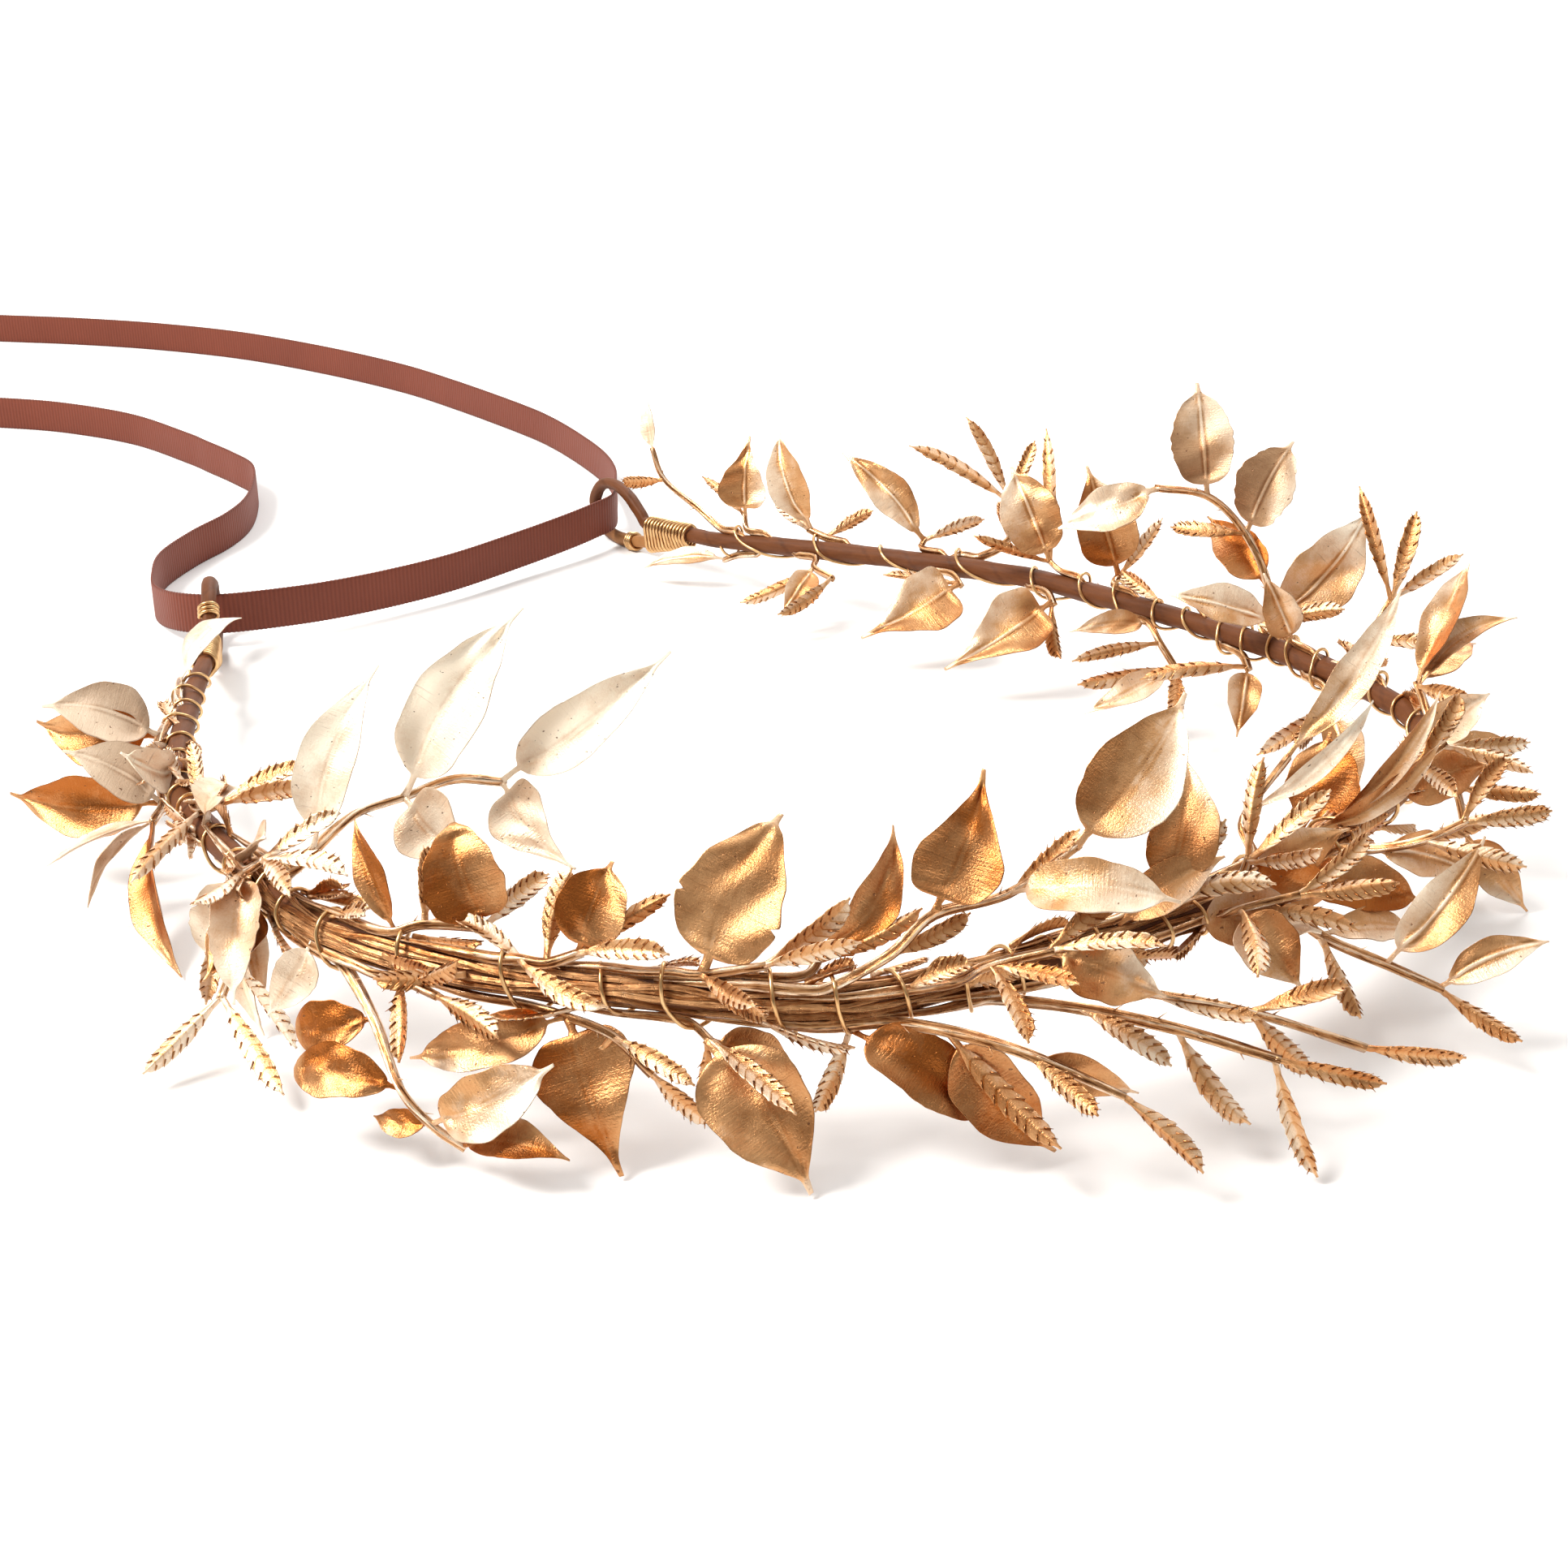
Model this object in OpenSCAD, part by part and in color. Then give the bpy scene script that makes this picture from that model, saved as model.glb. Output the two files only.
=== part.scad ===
// Golden leaf crown: a taped wire hoop, open at the back, with sprays of broad
// leaves and serrated sprigs tied along it, and a ribbon through its end loops.
// All lengths are millimetres and all angles are degrees.
// The front of the hoop looks along -Y, +Z is up, and z = 0 is the surface it lies on.

/* [Hoop] */
// Width of the hoop across its sides, between wire centres
hoop_w = 146; // [130:1:170]
// Length of the hoop from its front to its end necks
hoop_l = 175; // [160:1:200]
// Height of the wire centre at the front, above the surface
hoop_h = 18; // [17:0.5:22]
// Diameter of the taped core wire
core_d = 3.2; // [3:0.1:3.6]

/* [End loops] */
// Length of each end loop beyond its neck
loop_l = 18; // [15:0.5:22]
// Height of each end loop between wire centres
loop_h = 10; // [9.4:0.1:12]
// Diameter of the wire where it is bent into a loop
loop_d = 2.3; // [2:0.1:2.4]
// Length of the fine wire coil on each neck
coil_l = 13; // [11:0.5:14]
// Thickness of the coil around the two wires
coil_t = 0.6; // [0.5:0.05:0.8]

/* [Sprays] */
// Length of a broad leaf
leaf_l = 20; // [17:0.5:22]
// Width of a broad leaf
leaf_w = 9; // [7:0.5:10]
// Thickness of a leaf at its midrib
leaf_t = 0.7; // [0.5:0.05:0.9]
// Length of a serrated sprig blade
sprig_l = 12; // [10:0.5:13]
// Width of a serrated sprig blade
sprig_w = 3.4; // [3:0.1:3.8]
// Thickness of a sprig blade at its rib
sprig_t = 1; // [0.8:0.05:1.2]
// Step that the stem points are counted in
stem_step = 10; // [9:0.5:11]
// Diameter of a spray's stem
stem_d = 1.2; // [1:0.05:1.3]
// Diameter of the bundle of stems tied around the core at the front
bundle_d = 4.6; // [4.5:0.1:5.2]

/* [Ribbon] */
// Width of the ribbon, which stands on its edge
ribbon_w = 6.8; // [6:0.1:7]
// Thickness of the ribbon
ribbon_t = 0.5; // [0.4:0.05:0.8]

/* [Hidden] */
// Where the middle of the object's box, the ribbon apart, lies: across from the
// hoop's middle line and back from its front
centre_x = -0.005 * hoop_w;
centre_y = 0.4755 * hoop_l;
// Height of both end necks, so that the loops touch the surface
neck_z = loop_h / 2 + loop_d / 2;
// Clearance between two pieces that lie against each other
rest = 0.1;
// Sides of the round wires, and curve points between two rows of a table
wire_sides = 8;
smooth = 2;
// Share of the hoop's length over which its direction is measured
nearby = 0.004;
// Points over which the bare wire of a loop grows to the taped wire of the hoop
taper_points = 5;
// Shares of the hoop between which the bundle of stems lies, and its lobes
bundle_from = 0.24;
bundle_to = 0.605;
bundle_lobes = 6;
// Depth of the grooves between the lobes, as a share of the bundle's radius
bundle_groove = 0.08;
// Ridges of a neck coil, and the depth between them as a share of coil_t
coil_ridges = 5;
coil_groove = 0.35;
// Points on each half of a coil's outline
coil_half = 4;
// Height of the loop's wire end under the core, as a share of half the loop's height
tail_drop = 0.66;
// Clearance between a coil and the two wires inside it
coil_gap = 0.2;
// Length of a stem's foot that is tied along the wire, in stem diameters
foot_l = 2.5;
// Length of a stem beyond its last point, in stem diameters
stem_over = 0.5;

// The hoop's wire: [across, back, rise] as shares of hoop_w / 2, hoop_l and the
// rise from neck_z to hoop_h, from the left neck over the front to the right neck.
HOOP = [
    [-0.51, 0.98, 0.00],
    [-0.59, 0.91, 0.09],
    [-0.69, 0.83, 0.25],
    [-0.78, 0.75, 0.42],
    [-0.90, 0.64, 0.62],
    [-0.97, 0.54, 0.79],
    [-1.00, 0.40, 0.94],
    [-0.99, 0.30, 1.00],
    [-0.89, 0.21, 1.00],
    [-0.73, 0.13, 1.00],
    [-0.53, 0.05, 1.00],
    [-0.31, 0.02, 1.00],
    [-0.03, 0.00, 1.00],
    [0.36, 0.01, 1.00],
    [0.77, 0.06, 1.00],
    [0.96, 0.13, 1.00],
    [1.00, 0.27, 1.00],
    [0.98, 0.41, 0.94],
    [0.95, 0.56, 0.79],
    [0.86, 0.70, 0.58],
    [0.74, 0.85, 0.33],
    [0.70, 0.92, 0.18],
    [0.69, 1.02, 0.00]
];

// An end loop: [out, up] as shares of loop_l and of half its height, from the
// neck over the top and back below, ending beside the core inside the coil.
LOOP = [
    [0.15, 0.30],
    [0.35, 0.78],
    [0.60, 1.00],
    [0.85, 0.80],
    [1.00, 0.00],
    [0.85, -0.80],
    [0.60, -1.00],
    [0.35, -0.92],
    [0.15, -0.74],
    [0.00, -tail_drop],
    [-0.30, -tail_drop],
    [-0.58, -tail_drop]
];

// The ribbon's middle line: [across, back, rise], the first two in millimetres from
// the front of the hoop, rise from 0 where it lies on the surface to 1 at the height
// of the necks. It comes in from its first free end, goes through the right loop,
// across to the left loop, through that and out to its second free end.
ROUTE = [
    [2, 419, 0], [8, 413, 0], [23, 398, 0], [37, 381, 0], [50, 360, 0], [60, 335, 0],
    [67, 310, 0], [70, 289, 0], [72, 264, 0], [72, 250, 0], [70, 234, 0], [67, 221, 0.1],
    [62, 209, 0.4], [56, 199, 0.8], [50, 190, 1], [44, 187, 1], [37, 185, 0.9], [26, 183, 0.7],
    [11, 180, 0.6], [-2, 179, 0.6], [-14, 179, 0.7], [-25, 180, 0.9], [-32, 182, 1],
    [-36, 188, 0.8], [-36, 197, 0.3], [-33, 206, 0], [-28, 215, 0], [-19, 223, 0],
    [-10, 229, 0], [-3, 236, 0], [3, 246, 0], [7, 256, 0], [7, 266, 0], [6, 276, 0],
    [5, 285, 0], [1, 305, 0], [-8, 323, 0], [-18, 335, 0], [-24, 340, 0]
];

// The sprays: [name, share along the wire, slot, [look, rise], stem, leaves, sprigs].
// slot is the angle around the wire at which the stem is tied: 0 outside, 90 on top.
// Every direction is [along, out, up] in the frame of the wire at the spray's foot.
// stem: points counted from the foot in stem_step.
// leaves: [stem point, along, out, up, wide, look, rise, bend]. The direction is in
// shares of leaf_l, wide of leaf_w, bend of the leaf's own length. look and rise say
// which way its upper face is turned: bearing in plan and angle above level.
// sprigs: [stem point, along, out, up], in shares of sprig_l, turned by [look, rise].
SPRAYS = [
    ["spray_left_fan", 0.108, 30, [230, 20],
        [[0.6, 0.05, 0], [1.5, 0.06, -0.15], [2.28, -0.06, -0.4], [2.9, 0, -0.42]],
        [
            [1, -0.08, 0.75, 0.24, 0.95, 230, 50, 0.10],
            [1, -0.36, 0.84, 0.06, 0.95, 230, 20, 0.10],
            [3, -0.05, 0.58, 0.38, 0.80, 230, 50, 0.08],
            [3, -0.35, 0.98, 0.03, 0.90, 230, 20, 0.10],
            [4, -0.04, 0.68, -0.26, 0.35, 150, 20, 0.08],
            [4, 0.29, 0.42, -0.44, 0.40, 150, 10, 0.10],
            [4, 0.96, -0.17, -0.68, 0.60, 210, 10, 0.05]
        ],
        []],
    ["spray_left_low", 0.22, 270, [230, 20],
        [[0.6, 0.3, -0.2], [1.3, 0.5, -0.5], [1.7, 0.8, -0.7]],
        [[1, 0.40, 0.00, -0.65, 0.55, 200, 10, 0.08]],
        [[3, 0.10, 0.85, -0.50], [3, 1.15, -0.10, -0.55], [1, 0.45, 0.45, -0.70], [2, 0.75, -0.25, -0.70]]],
    ["spray_left_tuft", 0.20, 80, [230, 30],
        [[0.2, -0.2, 0.1]],
        [],
        [[0, -0.40, -0.10, 0.60], [1, 0.20, -0.90, 0.30], [1, 0.70, -0.85, 0.20], [1, 0.80, 0.10, 0.50],
         [0, 0.70, 0.90, -0.30]]],
    ["spray_left_mid", 0.245, 50, [230, 30],
        [[0.3, -0.1, 0.2]],
        [[0, 0.55, 0.35, -0.50, 0.65, 230, 30, 0.10]],
        [[1, 0.80, -0.50, 0.00], [1, 0.30, -0.70, 0.40], [1, 0.90, 0.10, 0.00], [0, 0.60, 0.70, 0.10]]],
    ["spray_left_arch", 0.255, 120, [230, 30],
        [[0.0, -0.3, 0.2], [-0.2, -0.9, 0.4], [-0.1, -1.5, 0.5], [0.0, -2.1, 0.6], [0.2, -2.6, 0.5]],
        [
            [1, -0.10, -0.55, 0.95, 0.75, 230, 30, 0.08],
            [3, 0.10, -0.80, 1.00, 1.00, 230, 30, 0.08],
            [5, 0.40, -0.95, 0.70, 0.80, 240, 40, 0.08],
            [3, 0.55, -0.20, -0.35, 0.90, 230, 20, 0.05],
            [5, 0.55, -0.15, -0.40, 0.80, 230, 20, 0.05]
        ],
        []],
    ["spray_left_hang", 0.285, 300, [230, 30],
        [[0.7, 0.3, -0.3], [1.4, 0.7, -0.7], [1.8, 0.7, -1.0], [2.1, 0.6, -1.2]],
        [
            [1, -0.43, 0.16, -0.14, 0.65, 240, 40, 0.10],
            [2, -0.61, 0.15, -0.01, 0.65, 240, 40, 0.12],
            [3, -0.35, 0.06, -0.04, 0.35, 240, 40, 0.05],
            [3, 0.54, -0.36, 0.36, 0.75, 240, 40, 0.08],
            [4, 0.59, -0.16, 0.04, 0.50, 240, 50, 0.12]
        ],
        []],
    ["spray_front_first", 0.30, 80, [230, 30],
        [[0.3, -0.1, 0.1], [0.9, -0.3, 0.1]],
        [
            [0, -0.35, -0.20, 0.50, 0.40, 220, 20, 0.10],
            [2, -0.25, -0.15, 0.50, 0.95, 240, 30, 0.15]
        ],
        [[1, 0.50, -0.50, 0.20], [1, -0.20, -0.50, 0.50], [2, 0.20, -0.80, 0.20]]],
    ["spray_front_second", 0.297, 330, [230, 30],
        [[0.4, 0.1, 0.1], [0.9, 0.2, 0.1]],
        [],
        [[1, 0.40, 0.60, -0.40], [2, 0.80, 0.20, -0.10], [1, 0.70, 0.10, 0.40]]],
    ["spray_front_third", 0.332, 70, [230, 30],
        [[0.3, 0.0, 0.0], [0.6, -0.1, 0.1]],
        [[2, 0.10, -0.30, 0.40, 0.80, 240, 30, 0.12]],
        [[1, 0.05, -0.55, 0.65], [2, 0.70, -0.45, 0.45], [2, 0.85, 0.05, 0.15], [0, 0.95, 0.40, -0.10]]],
    ["spray_front_low", 0.337, 290, [230, 30],
        [[0.3, 0.1, 0.0], [0.8, 0.2, -0.1], [1.2, 0.3, -0.4]],
        [
            [1, 0.35, 0.30, -0.73, 1.20, 230, 30, 0.06],
            [1, -0.85, 0.10, -0.30, 0.60, 250, 40, 0.12]
        ],
        [[2, 0.80, 0.30, -0.20], [3, 0.50, -0.20, -0.60], [2, -0.60, 0.10, -0.70]]],
    ["spray_front_high", 0.367, 80, [230, 30],
        [[0.3, 0.0, 0.0], [0.9, -0.1, 0.1]],
        [[1, 0.30, -0.60, 0.65, 1.25, 230, 30, 0.06]],
        [[2, 0.70, -0.35, 0.55], [2, 0.85, -0.05, 0.30], [1, 0.60, 0.60, 0.10]]],
    ["spray_front_fall", 0.371, 280, [230, 30],
        [[0.2, 0.1, -0.1]],
        [
            [1, 0.60, 0.30, -0.67, 1.20, 230, 30, 0.08],
            [1, 0.45, -0.20, -0.30, 0.60, 240, 40, 0.10]
        ],
        [[1, 0.90, 0.70, -0.20], [1, 0.05, 0.00, -0.80]]],
    ["spray_front_rise", 0.397, 100, [230, 30],
        [[0.1, -0.1, 0.1]],
        [[1, 0.40, -0.45, 0.55, 0.55, 240, 20, 0.12]],
        [[1, 0.90, -0.20, 0.40]]],
    ["spray_front_arch", 0.402, 60, [230, 30],
        [[0.6, 0.0, 0.3], [1.1, -0.2, 0.6], [1.9, -0.3, 0.7], [2.7, -0.6, 1.0]],
        [
            [2, 0.35, -0.40, 0.60, 1.00, 230, 30, 0.08],
            [4, 0.70, -0.40, 0.65, 1.10, 230, 30, 0.06],
            [3, 0.80, 0.35, 0.05, 0.65, 240, 50, 0.10]
        ],
        [[3, 0.75, -0.40, 0.35], [1, 0.80, -0.40, 0.10]]],
    ["spray_front_drop", 0.402, 270, [230, 30],
        [[0.2, 0.1, 0.0]],
        [[1, 0.65, 0.30, -0.50, 0.75, 240, 40, 0.12]],
        [[1, -0.30, 0.00, -0.80]]],
    ["spray_fan_near", 0.415, 310, [230, 30],
        [[0.5, 0.3, 0.0], [1.2, 0.8, -0.1], [2.0, 1.3, -0.4]],
        [
            [1, 0.55, 0.20, -0.70, 0.85, 230, 20, 0.08],
            [2, 0.60, 0.05, -0.30, 0.45, 230, 20, 0.08]
        ],
        [[3, 0.60, 0.45, -0.60], [1, 0.70, 0.95, -0.70], [2, 0.40, 0.60, -0.30]]],
    ["spray_fan_middle", 0.442, 300, [230, 30],
        [[0.7, 0.5, 0.0], [1.5, 1.1, -0.1], [2.3, 1.7, -0.3]],
        [],
        [[2, 0.45, 0.55, -0.75], [3, 0.20, 0.50, -0.95], [3, 0.85, 0.45, -0.20], [1, 0.50, 0.70, -0.30]]],
    ["spray_fan_far", 0.46, 330, [230, 30],
        [[0.5, 0.6, 0.0], [1.3, 1.3, -0.1], [2.2, 2.0, -0.4]],
        [],
        [[3, 0.80, 0.45, -0.10], [2, 0.80, 0.30, 0.20], [1, 0.70, 0.70, -0.10], [2, 0.50, 0.30, -0.60]]],
    ["spray_front_out", 0.430, 30, [230, 40],
        [[0.2, 0.3, 0.3], [0.7, 0.6, 0.5]],
        [[2, 0.55, 0.25, -0.25, 0.75, 230, 40, 0.10]],
        [[1, 0.40, 0.80, 0.15], [1, -0.05, 0.80, -0.30], [2, 0.75, 0.60, 0.20], [2, 0.80, 0.00, 0.40]]],
    ["spray_right_first", 0.48, 90, [230, 30],
        [[0.3, 0.1, 0.1]],
        [[1, 0.40, -0.35, 0.65, 0.85, 230, 20, 0.08]],
        [[1, 0.80, 0.60, 0.20], [1, 0.80, -0.10, 0.55]]],
    ["spray_right_tuft", 0.513, 60, [230, 30],
        [[0.1, 0.0, 0.2]],
        [[1, 0.40, 0.30, -0.25, 0.60, 230, 30, 0.10]],
        [[1, 0.50, -0.30, 0.80], [1, 0.75, 0.30, 0.60], [1, 0.05, 0.75, 0.40]]],
    ["spray_right_long", 0.525, 110, [230, 30],
        [[0.2, -0.3, 0.3], [0.9, -0.3, 0.8]],
        [
            [2, 1.00, 0.00, 0.80, 0.50, 210, 10, 0.08],
            [1, 0.95, 0.15, 0.50, 0.40, 210, 10, 0.08]
        ],
        []],
    ["spray_right_inner", 0.57, 175, [230, 30],
        [[0.02, -0.11, -0.27]],
        [
            [1, 0.27, -0.14, 0.52, 0.95, 212, 16, 0.10],
            [1, 0.55, -0.30, 0.30, 0.60, 200, 20, 0.10]
        ],
        []],
    ["spray_right_out", 0.50, 10, [230, 40],
        [[0.1, 0.3, 0.2], [0.5, 0.7, 0.4]],
        [[1, 0.10, 0.40, -0.35, 0.75, 230, 30, 0.08]],
        [[2, 0.80, 0.50, 0.10], [1, 0.70, 0.80, -0.10], [2, 0.85, 0.05, 0.40], [1, -0.50, 0.70, -0.20]]],
    ["spray_right_wide", 0.5495, 20, [230, 40],
        [[0.1, 0.4, 0.1], [0.3, 0.9, 0.3], [0.6, 1.2, 0.5]],
        [[1, 0.45, 0.40, -0.20, 0.60, 230, 30, 0.10]],
        [[2, 0.30, 0.90, -0.10], [3, 0.60, 0.60, 0.10], [2, 0.85, 0.30, 0.05], [3, 0.80, 0.05, 0.40]]],
    ["spray_right_crest", 0.588, 40, [230, 40],
        [[0.1, 0.1, 0.3], [0.4, 0.3, 0.5]],
        [],
        [[1, 0.65, 0.15, 0.60], [2, 0.60, 0.70, 0.00], [2, 0.10, 0.90, -0.10], [1, -0.50, 0.60, 0.00]]],
    ["spray_right_low", 0.528, 320, [230, 30],
        [[0.1, 0.5, -0.3], [0.4, 1.2, -0.5], [0.7, 1.7, -0.7]],
        [
            [2, 0.70, 0.10, 0.60, 0.65, 210, 20, 0.08],
            [3, 0.50, 0.35, 0.25, 0.50, 200, 30, 0.10],
            [1, 0.60, 0.25, -0.10, 0.50, 200, 50, 0.10]
        ],
        [[3, 0.20, 0.80, -0.30], [1, -0.10, 0.60, -0.60]]],
    ["spray_right_top", 0.64, 60, [210, 30],
        [[0.3, -0.1, 0.3]],
        [
            [1, 0.55, 0.40, 0.65, 0.60, 180, 30, 0.10],
            [1, 0.20, 0.65, 0.40, 0.50, 180, 40, 0.10],
            [1, 0.50, 0.50, 0.10, 0.70, 200, 50, 0.10]
        ],
        [[1, -0.60, 0.40, 0.10]]],
    ["spray_right_side", 0.622, 340, [220, 30],
        [[0.0, 0.3, -0.3], [-0.2, 0.5, -0.8]],
        [
            [2, -0.05, 0.45, -0.45, 0.60, 210, 30, 0.10],
            [0, 0.45, 0.50, 0.00, 0.60, 200, 40, 0.10]
        ],
        [[1, 0.20, 0.85, 0.00], [2, 0.20, 0.20, -0.59]]],
    ["spray_back_bud", 0.953, 90, [230, 20],
        [[0.5, 0.0, 0.3], [1.2, -0.1, 0.8], [1.4, -0.1, 1.3]],
        [[3, 0.10, 0.10, 0.45, 0.35, 200, 10, 0.05]],
        [[2, 0.60, -0.30, 0.00]]],
    ["spray_back_first", 0.94, 80, [230, 20],
        [[0.1, 0.1, 0.2]],
        [[1, 0.05, 0.25, 0.65, 0.90, 230, 10, 0.05]],
        [[1, 0.90, 0.20, 0.50]]],
    ["spray_back_second", 0.905, 60, [230, 20],
        [[0.3, 0.0, 0.1]],
        [[1, 0.35, 0.15, 0.80, 0.75, 230, 10, 0.08]],
        [[0, -0.50, 0.50, 0.30], [1, 0.80, 0.35, 0.40]]],
    ["spray_back_third", 0.863, 60, [230, 20],
        [[0.0, 0.1, 0.1]],
        [[1, 0.70, -0.10, 0.70, 0.70, 240, 20, 0.06]],
        [[1, -0.60, 0.60, 0.20]]],
    ["spray_back_fourth", 0.838, 50, [230, 20],
        [[-0.2, 0.5, 0.2], [0.0, 0.8, 0.7]],
        [],
        [[2, 1.20, -0.60, 0.80], [2, 0.70, 0.05, 1.10], [2, -0.10, 0.50, 0.75], [1, 0.70, 0.80, 0.25]]],
    ["spray_back_fifth", 0.802, 80, [230, 20],
        [[0.2, 0.0, 0.1]],
        [[1, 0.40, 0.00, 0.70, 1.00, 230, 20, 0.08]],
        [[1, 0.80, -0.60, 0.35], [1, 0.50, 0.50, 1.60]]],
    ["spray_back_sixth", 0.778, 80, [230, 20],
        [[0.0, 0.1, 0.1]],
        [[1, 0.35, 0.00, 0.80, 1.05, 230, 20, 0.08]],
        [[1, 0.00, 0.80, 0.60]]],
    ["spray_back_arch", 0.718, 50, [230, 20],
        [[0.2, 0.3, 0.5], [0.7, 0.3, 1.2], [1.2, 0.0, 1.7], [1.7, -0.5, 1.8]],
        [
            [3, 0.30, 0.15, 0.75, 1.00, 230, 10, 0.05],
            [2, 0.00, 0.45, 0.60, 0.95, 230, 10, 0.05],
            [4, 0.45, -0.55, -0.30, 0.80, 220, 40, 0.10],
            [1, 0.70, 0.10, 0.35, 0.75, 230, 30, 0.10]
        ],
        [[2, 0.75, -0.50, 0.00]]],
    ["spray_back_seventh", 0.703, 90, [230, 20],
        [[0.3, -0.1, 0.2]],
        [
            [1, -0.10, 0.75, 0.75, 1.05, 230, 20, 0.08],
            [1, 0.45, -0.60, 0.20, 0.65, 230, 40, 0.08],
            [0, 0.15, -0.20, 0.50, 0.60, 230, 20, 0.08]
        ],
        [[1, -0.70, 0.40, 0.30]]],
    ["spray_back_spikes", 0.676, 60, [230, 20],
        [[0.2, 0.2, 0.3], [0.3, 0.6, 0.8]],
        [],
        [[2, 0.75, 0.00, 1.15], [2, 0.20, 0.40, 0.95], [2, -0.10, 0.90, 0.45], [1, -0.60, 0.70, 0.00]]],
    ["spray_inner_first", 0.845, 200, [230, 40],
        [[-0.2, -0.1, -0.1]],
        [[1, 0.45, -0.75, -0.30, 1.20, 240, 50, 0.05]],
        [[1, 0.90, -0.50, 0.15]]],
    ["spray_inner_second", 0.803, 200, [230, 40],
        [[-0.2, -0.1, -0.1]],
        [[1, 0.35, -0.85, -0.40, 1.15, 240, 50, 0.05]],
        [[1, -0.40, -0.30, -0.60]]],
    ["spray_inner_third", 0.905, 200, [230, 40],
        [[-0.1, -0.2, -0.1], [-0.5, -0.3, -0.2]],
        [[1, 0.05, -0.45, -0.30, 0.55, 230, 40, 0.08]],
        [[1, 0.75, -0.80, -0.35], [2, 0.30, -0.90, -0.30]]],
    ["spray_inner_fourth", 0.758, 220, [230, 40],
        [[-0.3, -0.1, -0.2], [-0.6, -0.1, -0.5]],
        [
            [2, 0.25, -0.70, -0.25, 0.50, 230, 50, 0.08],
            [0, 0.30, -0.55, 0.00, 0.45, 230, 50, 0.08]
        ],
        [[1, 0.50, -1.05, -0.10], [2, 0.60, -1.10, -0.10], [2, -0.50, -0.60, -0.40]]],
    ["spray_inner_fifth", 0.72, 230, [230, 40],
        [[-0.2, -0.1, -0.1]],
        [[1, -0.20, -0.30, -0.40, 0.55, 230, 20, 0.08]],
        [[1, 0.70, -1.10, -0.10]]],
    ["spray_inner_sixth", 0.685, 220, [230, 40],
        [[-0.2, -0.1, -0.2]],
        [[1, -0.40, -0.05, -0.50, 0.60, 220, 30, 0.08]],
        [[1, 0.10, -1.00, -0.40], [1, -0.30, -0.80, -0.20]]],
    ["spray_neck_left", 0.078, 50, [230, 20],
        [[-0.9, 0.05, -0.05]],
        [[1, -0.66, -0.44, 0.29, 0.42, 230, 30, 0.10]],
        []],
    ["spray_neck_right", 0.945, 270, [230, 20],
        [[0.3, 0.0, -0.1]],
        [[1, 0.70, -0.30, -0.05, 0.45, 230, 60, 0.10]],
        []]
];

// Columns of a spray's row
NAME = 0;
SHARE = 1;
SLOT = 2;
TURN = 3;
STEM = 4;
LEAVES = 5;
SPRIGS = 6;

// A leaf's outline and a sprig's: [share of length, share of half width], with a
// narrow stalk first. Both start and end in a point.
LEAF_OUTLINE = [[0.14, 0.12], [0.32, 0.86], [0.54, 1.00], [0.80, 0.52]];
SPRIG_OUTLINE = [[0.16, 0.28], [0.50, 1.00]];
// How far a leaf's edges curl up, as a share of its half width
leaf_cup = 0.25;
// Thickness of a blade at its ends, as a share of its full thickness
blade_rim = 0.4;
// Sides of a spray's stem
stem_sides = 5;

PIECES = ["band_core", "neck_coil_left", "neck_coil_right", "stem_bundle", "ribbon"];

function unit(v) = v / norm(v);

// A smooth line through the points p, with n steps from each point to the next
function between(a, b, c, d, t) =
    (2 * b + (c - a) * t + (2 * a - 5 * b + 4 * c - d) * t * t + (3 * b - a - 3 * c + d) * t * t * t) / 2;
function smooth_line(p, n) =
    let (last = len(p) - 1)
    concat(
        [for (i = [0 : last - 1]) for (k = [0 : n - 1])
            between(
                i > 0 ? p[i - 1] : 2 * p[0] - p[1],
                p[i],
                p[i + 1],
                i < last - 1 ? p[i + 2] : 2 * p[last] - p[last - 1],
                k / n)],
        [p[last]]
    );

// The hoop's line and how far along it each of its points lies
hoop_line = smooth_line(
    [for (row = HOOP)
        [row[0] * hoop_w / 2 - centre_x, row[1] * hoop_l - centre_y, neck_z + row[2] * (hoop_h - neck_z)]],
    smooth);
hoop_run = [for (i = 0, s = 0; i < len(hoop_line);
    s = s + (i + 1 < len(hoop_line) ? norm(hoop_line[i + 1] - hoop_line[i]) : 0), i = i + 1) s];
hoop_len = hoop_run[len(hoop_run) - 1];
hoop_tables = [for (axis = [0 : 2]) [for (i = [0 : len(hoop_line) - 1]) [hoop_run[i], hoop_line[i][axis]]]];

// The wire's centre at a share of its length, and its directions there
function hoop_at(share) = [for (axis = [0 : 2]) lookup(share * hoop_len, hoop_tables[axis])];
function along_at(share) = unit(hoop_at(min(1, share + nearby)) - hoop_at(max(0, share - nearby)));
function out_at(share) = let (t = along_at(share)) unit([t[1], -t[0], 0]);
function up_at(share) = cross(out_at(share), along_at(share));
function in_frame(share, v) = along_at(share) * v[0] + out_at(share) * v[1] + up_at(share) * v[2];

// A ring of points around a line: side and rise are its two directions
function ring(centre, side, rise, radius, sides) =
    [for (k = [0 : sides - 1]) centre + radius * (side * cos(360 * k / sides) + rise * sin(360 * k / sides))];

// Rings along a line of points with given sideways directions and radii
function tube_rings(line, sideways, radii, sides) =
    [for (i = [0 : len(line) - 1])
        let (
            travel = unit(line[min(len(line) - 1, i + 1)] - line[max(0, i - 1)]),
            side = unit(sideways[i] - travel * (sideways[i] * travel))
        )
        ring(line[i], side, cross(travel, side), radii[i], sides)];

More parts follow.
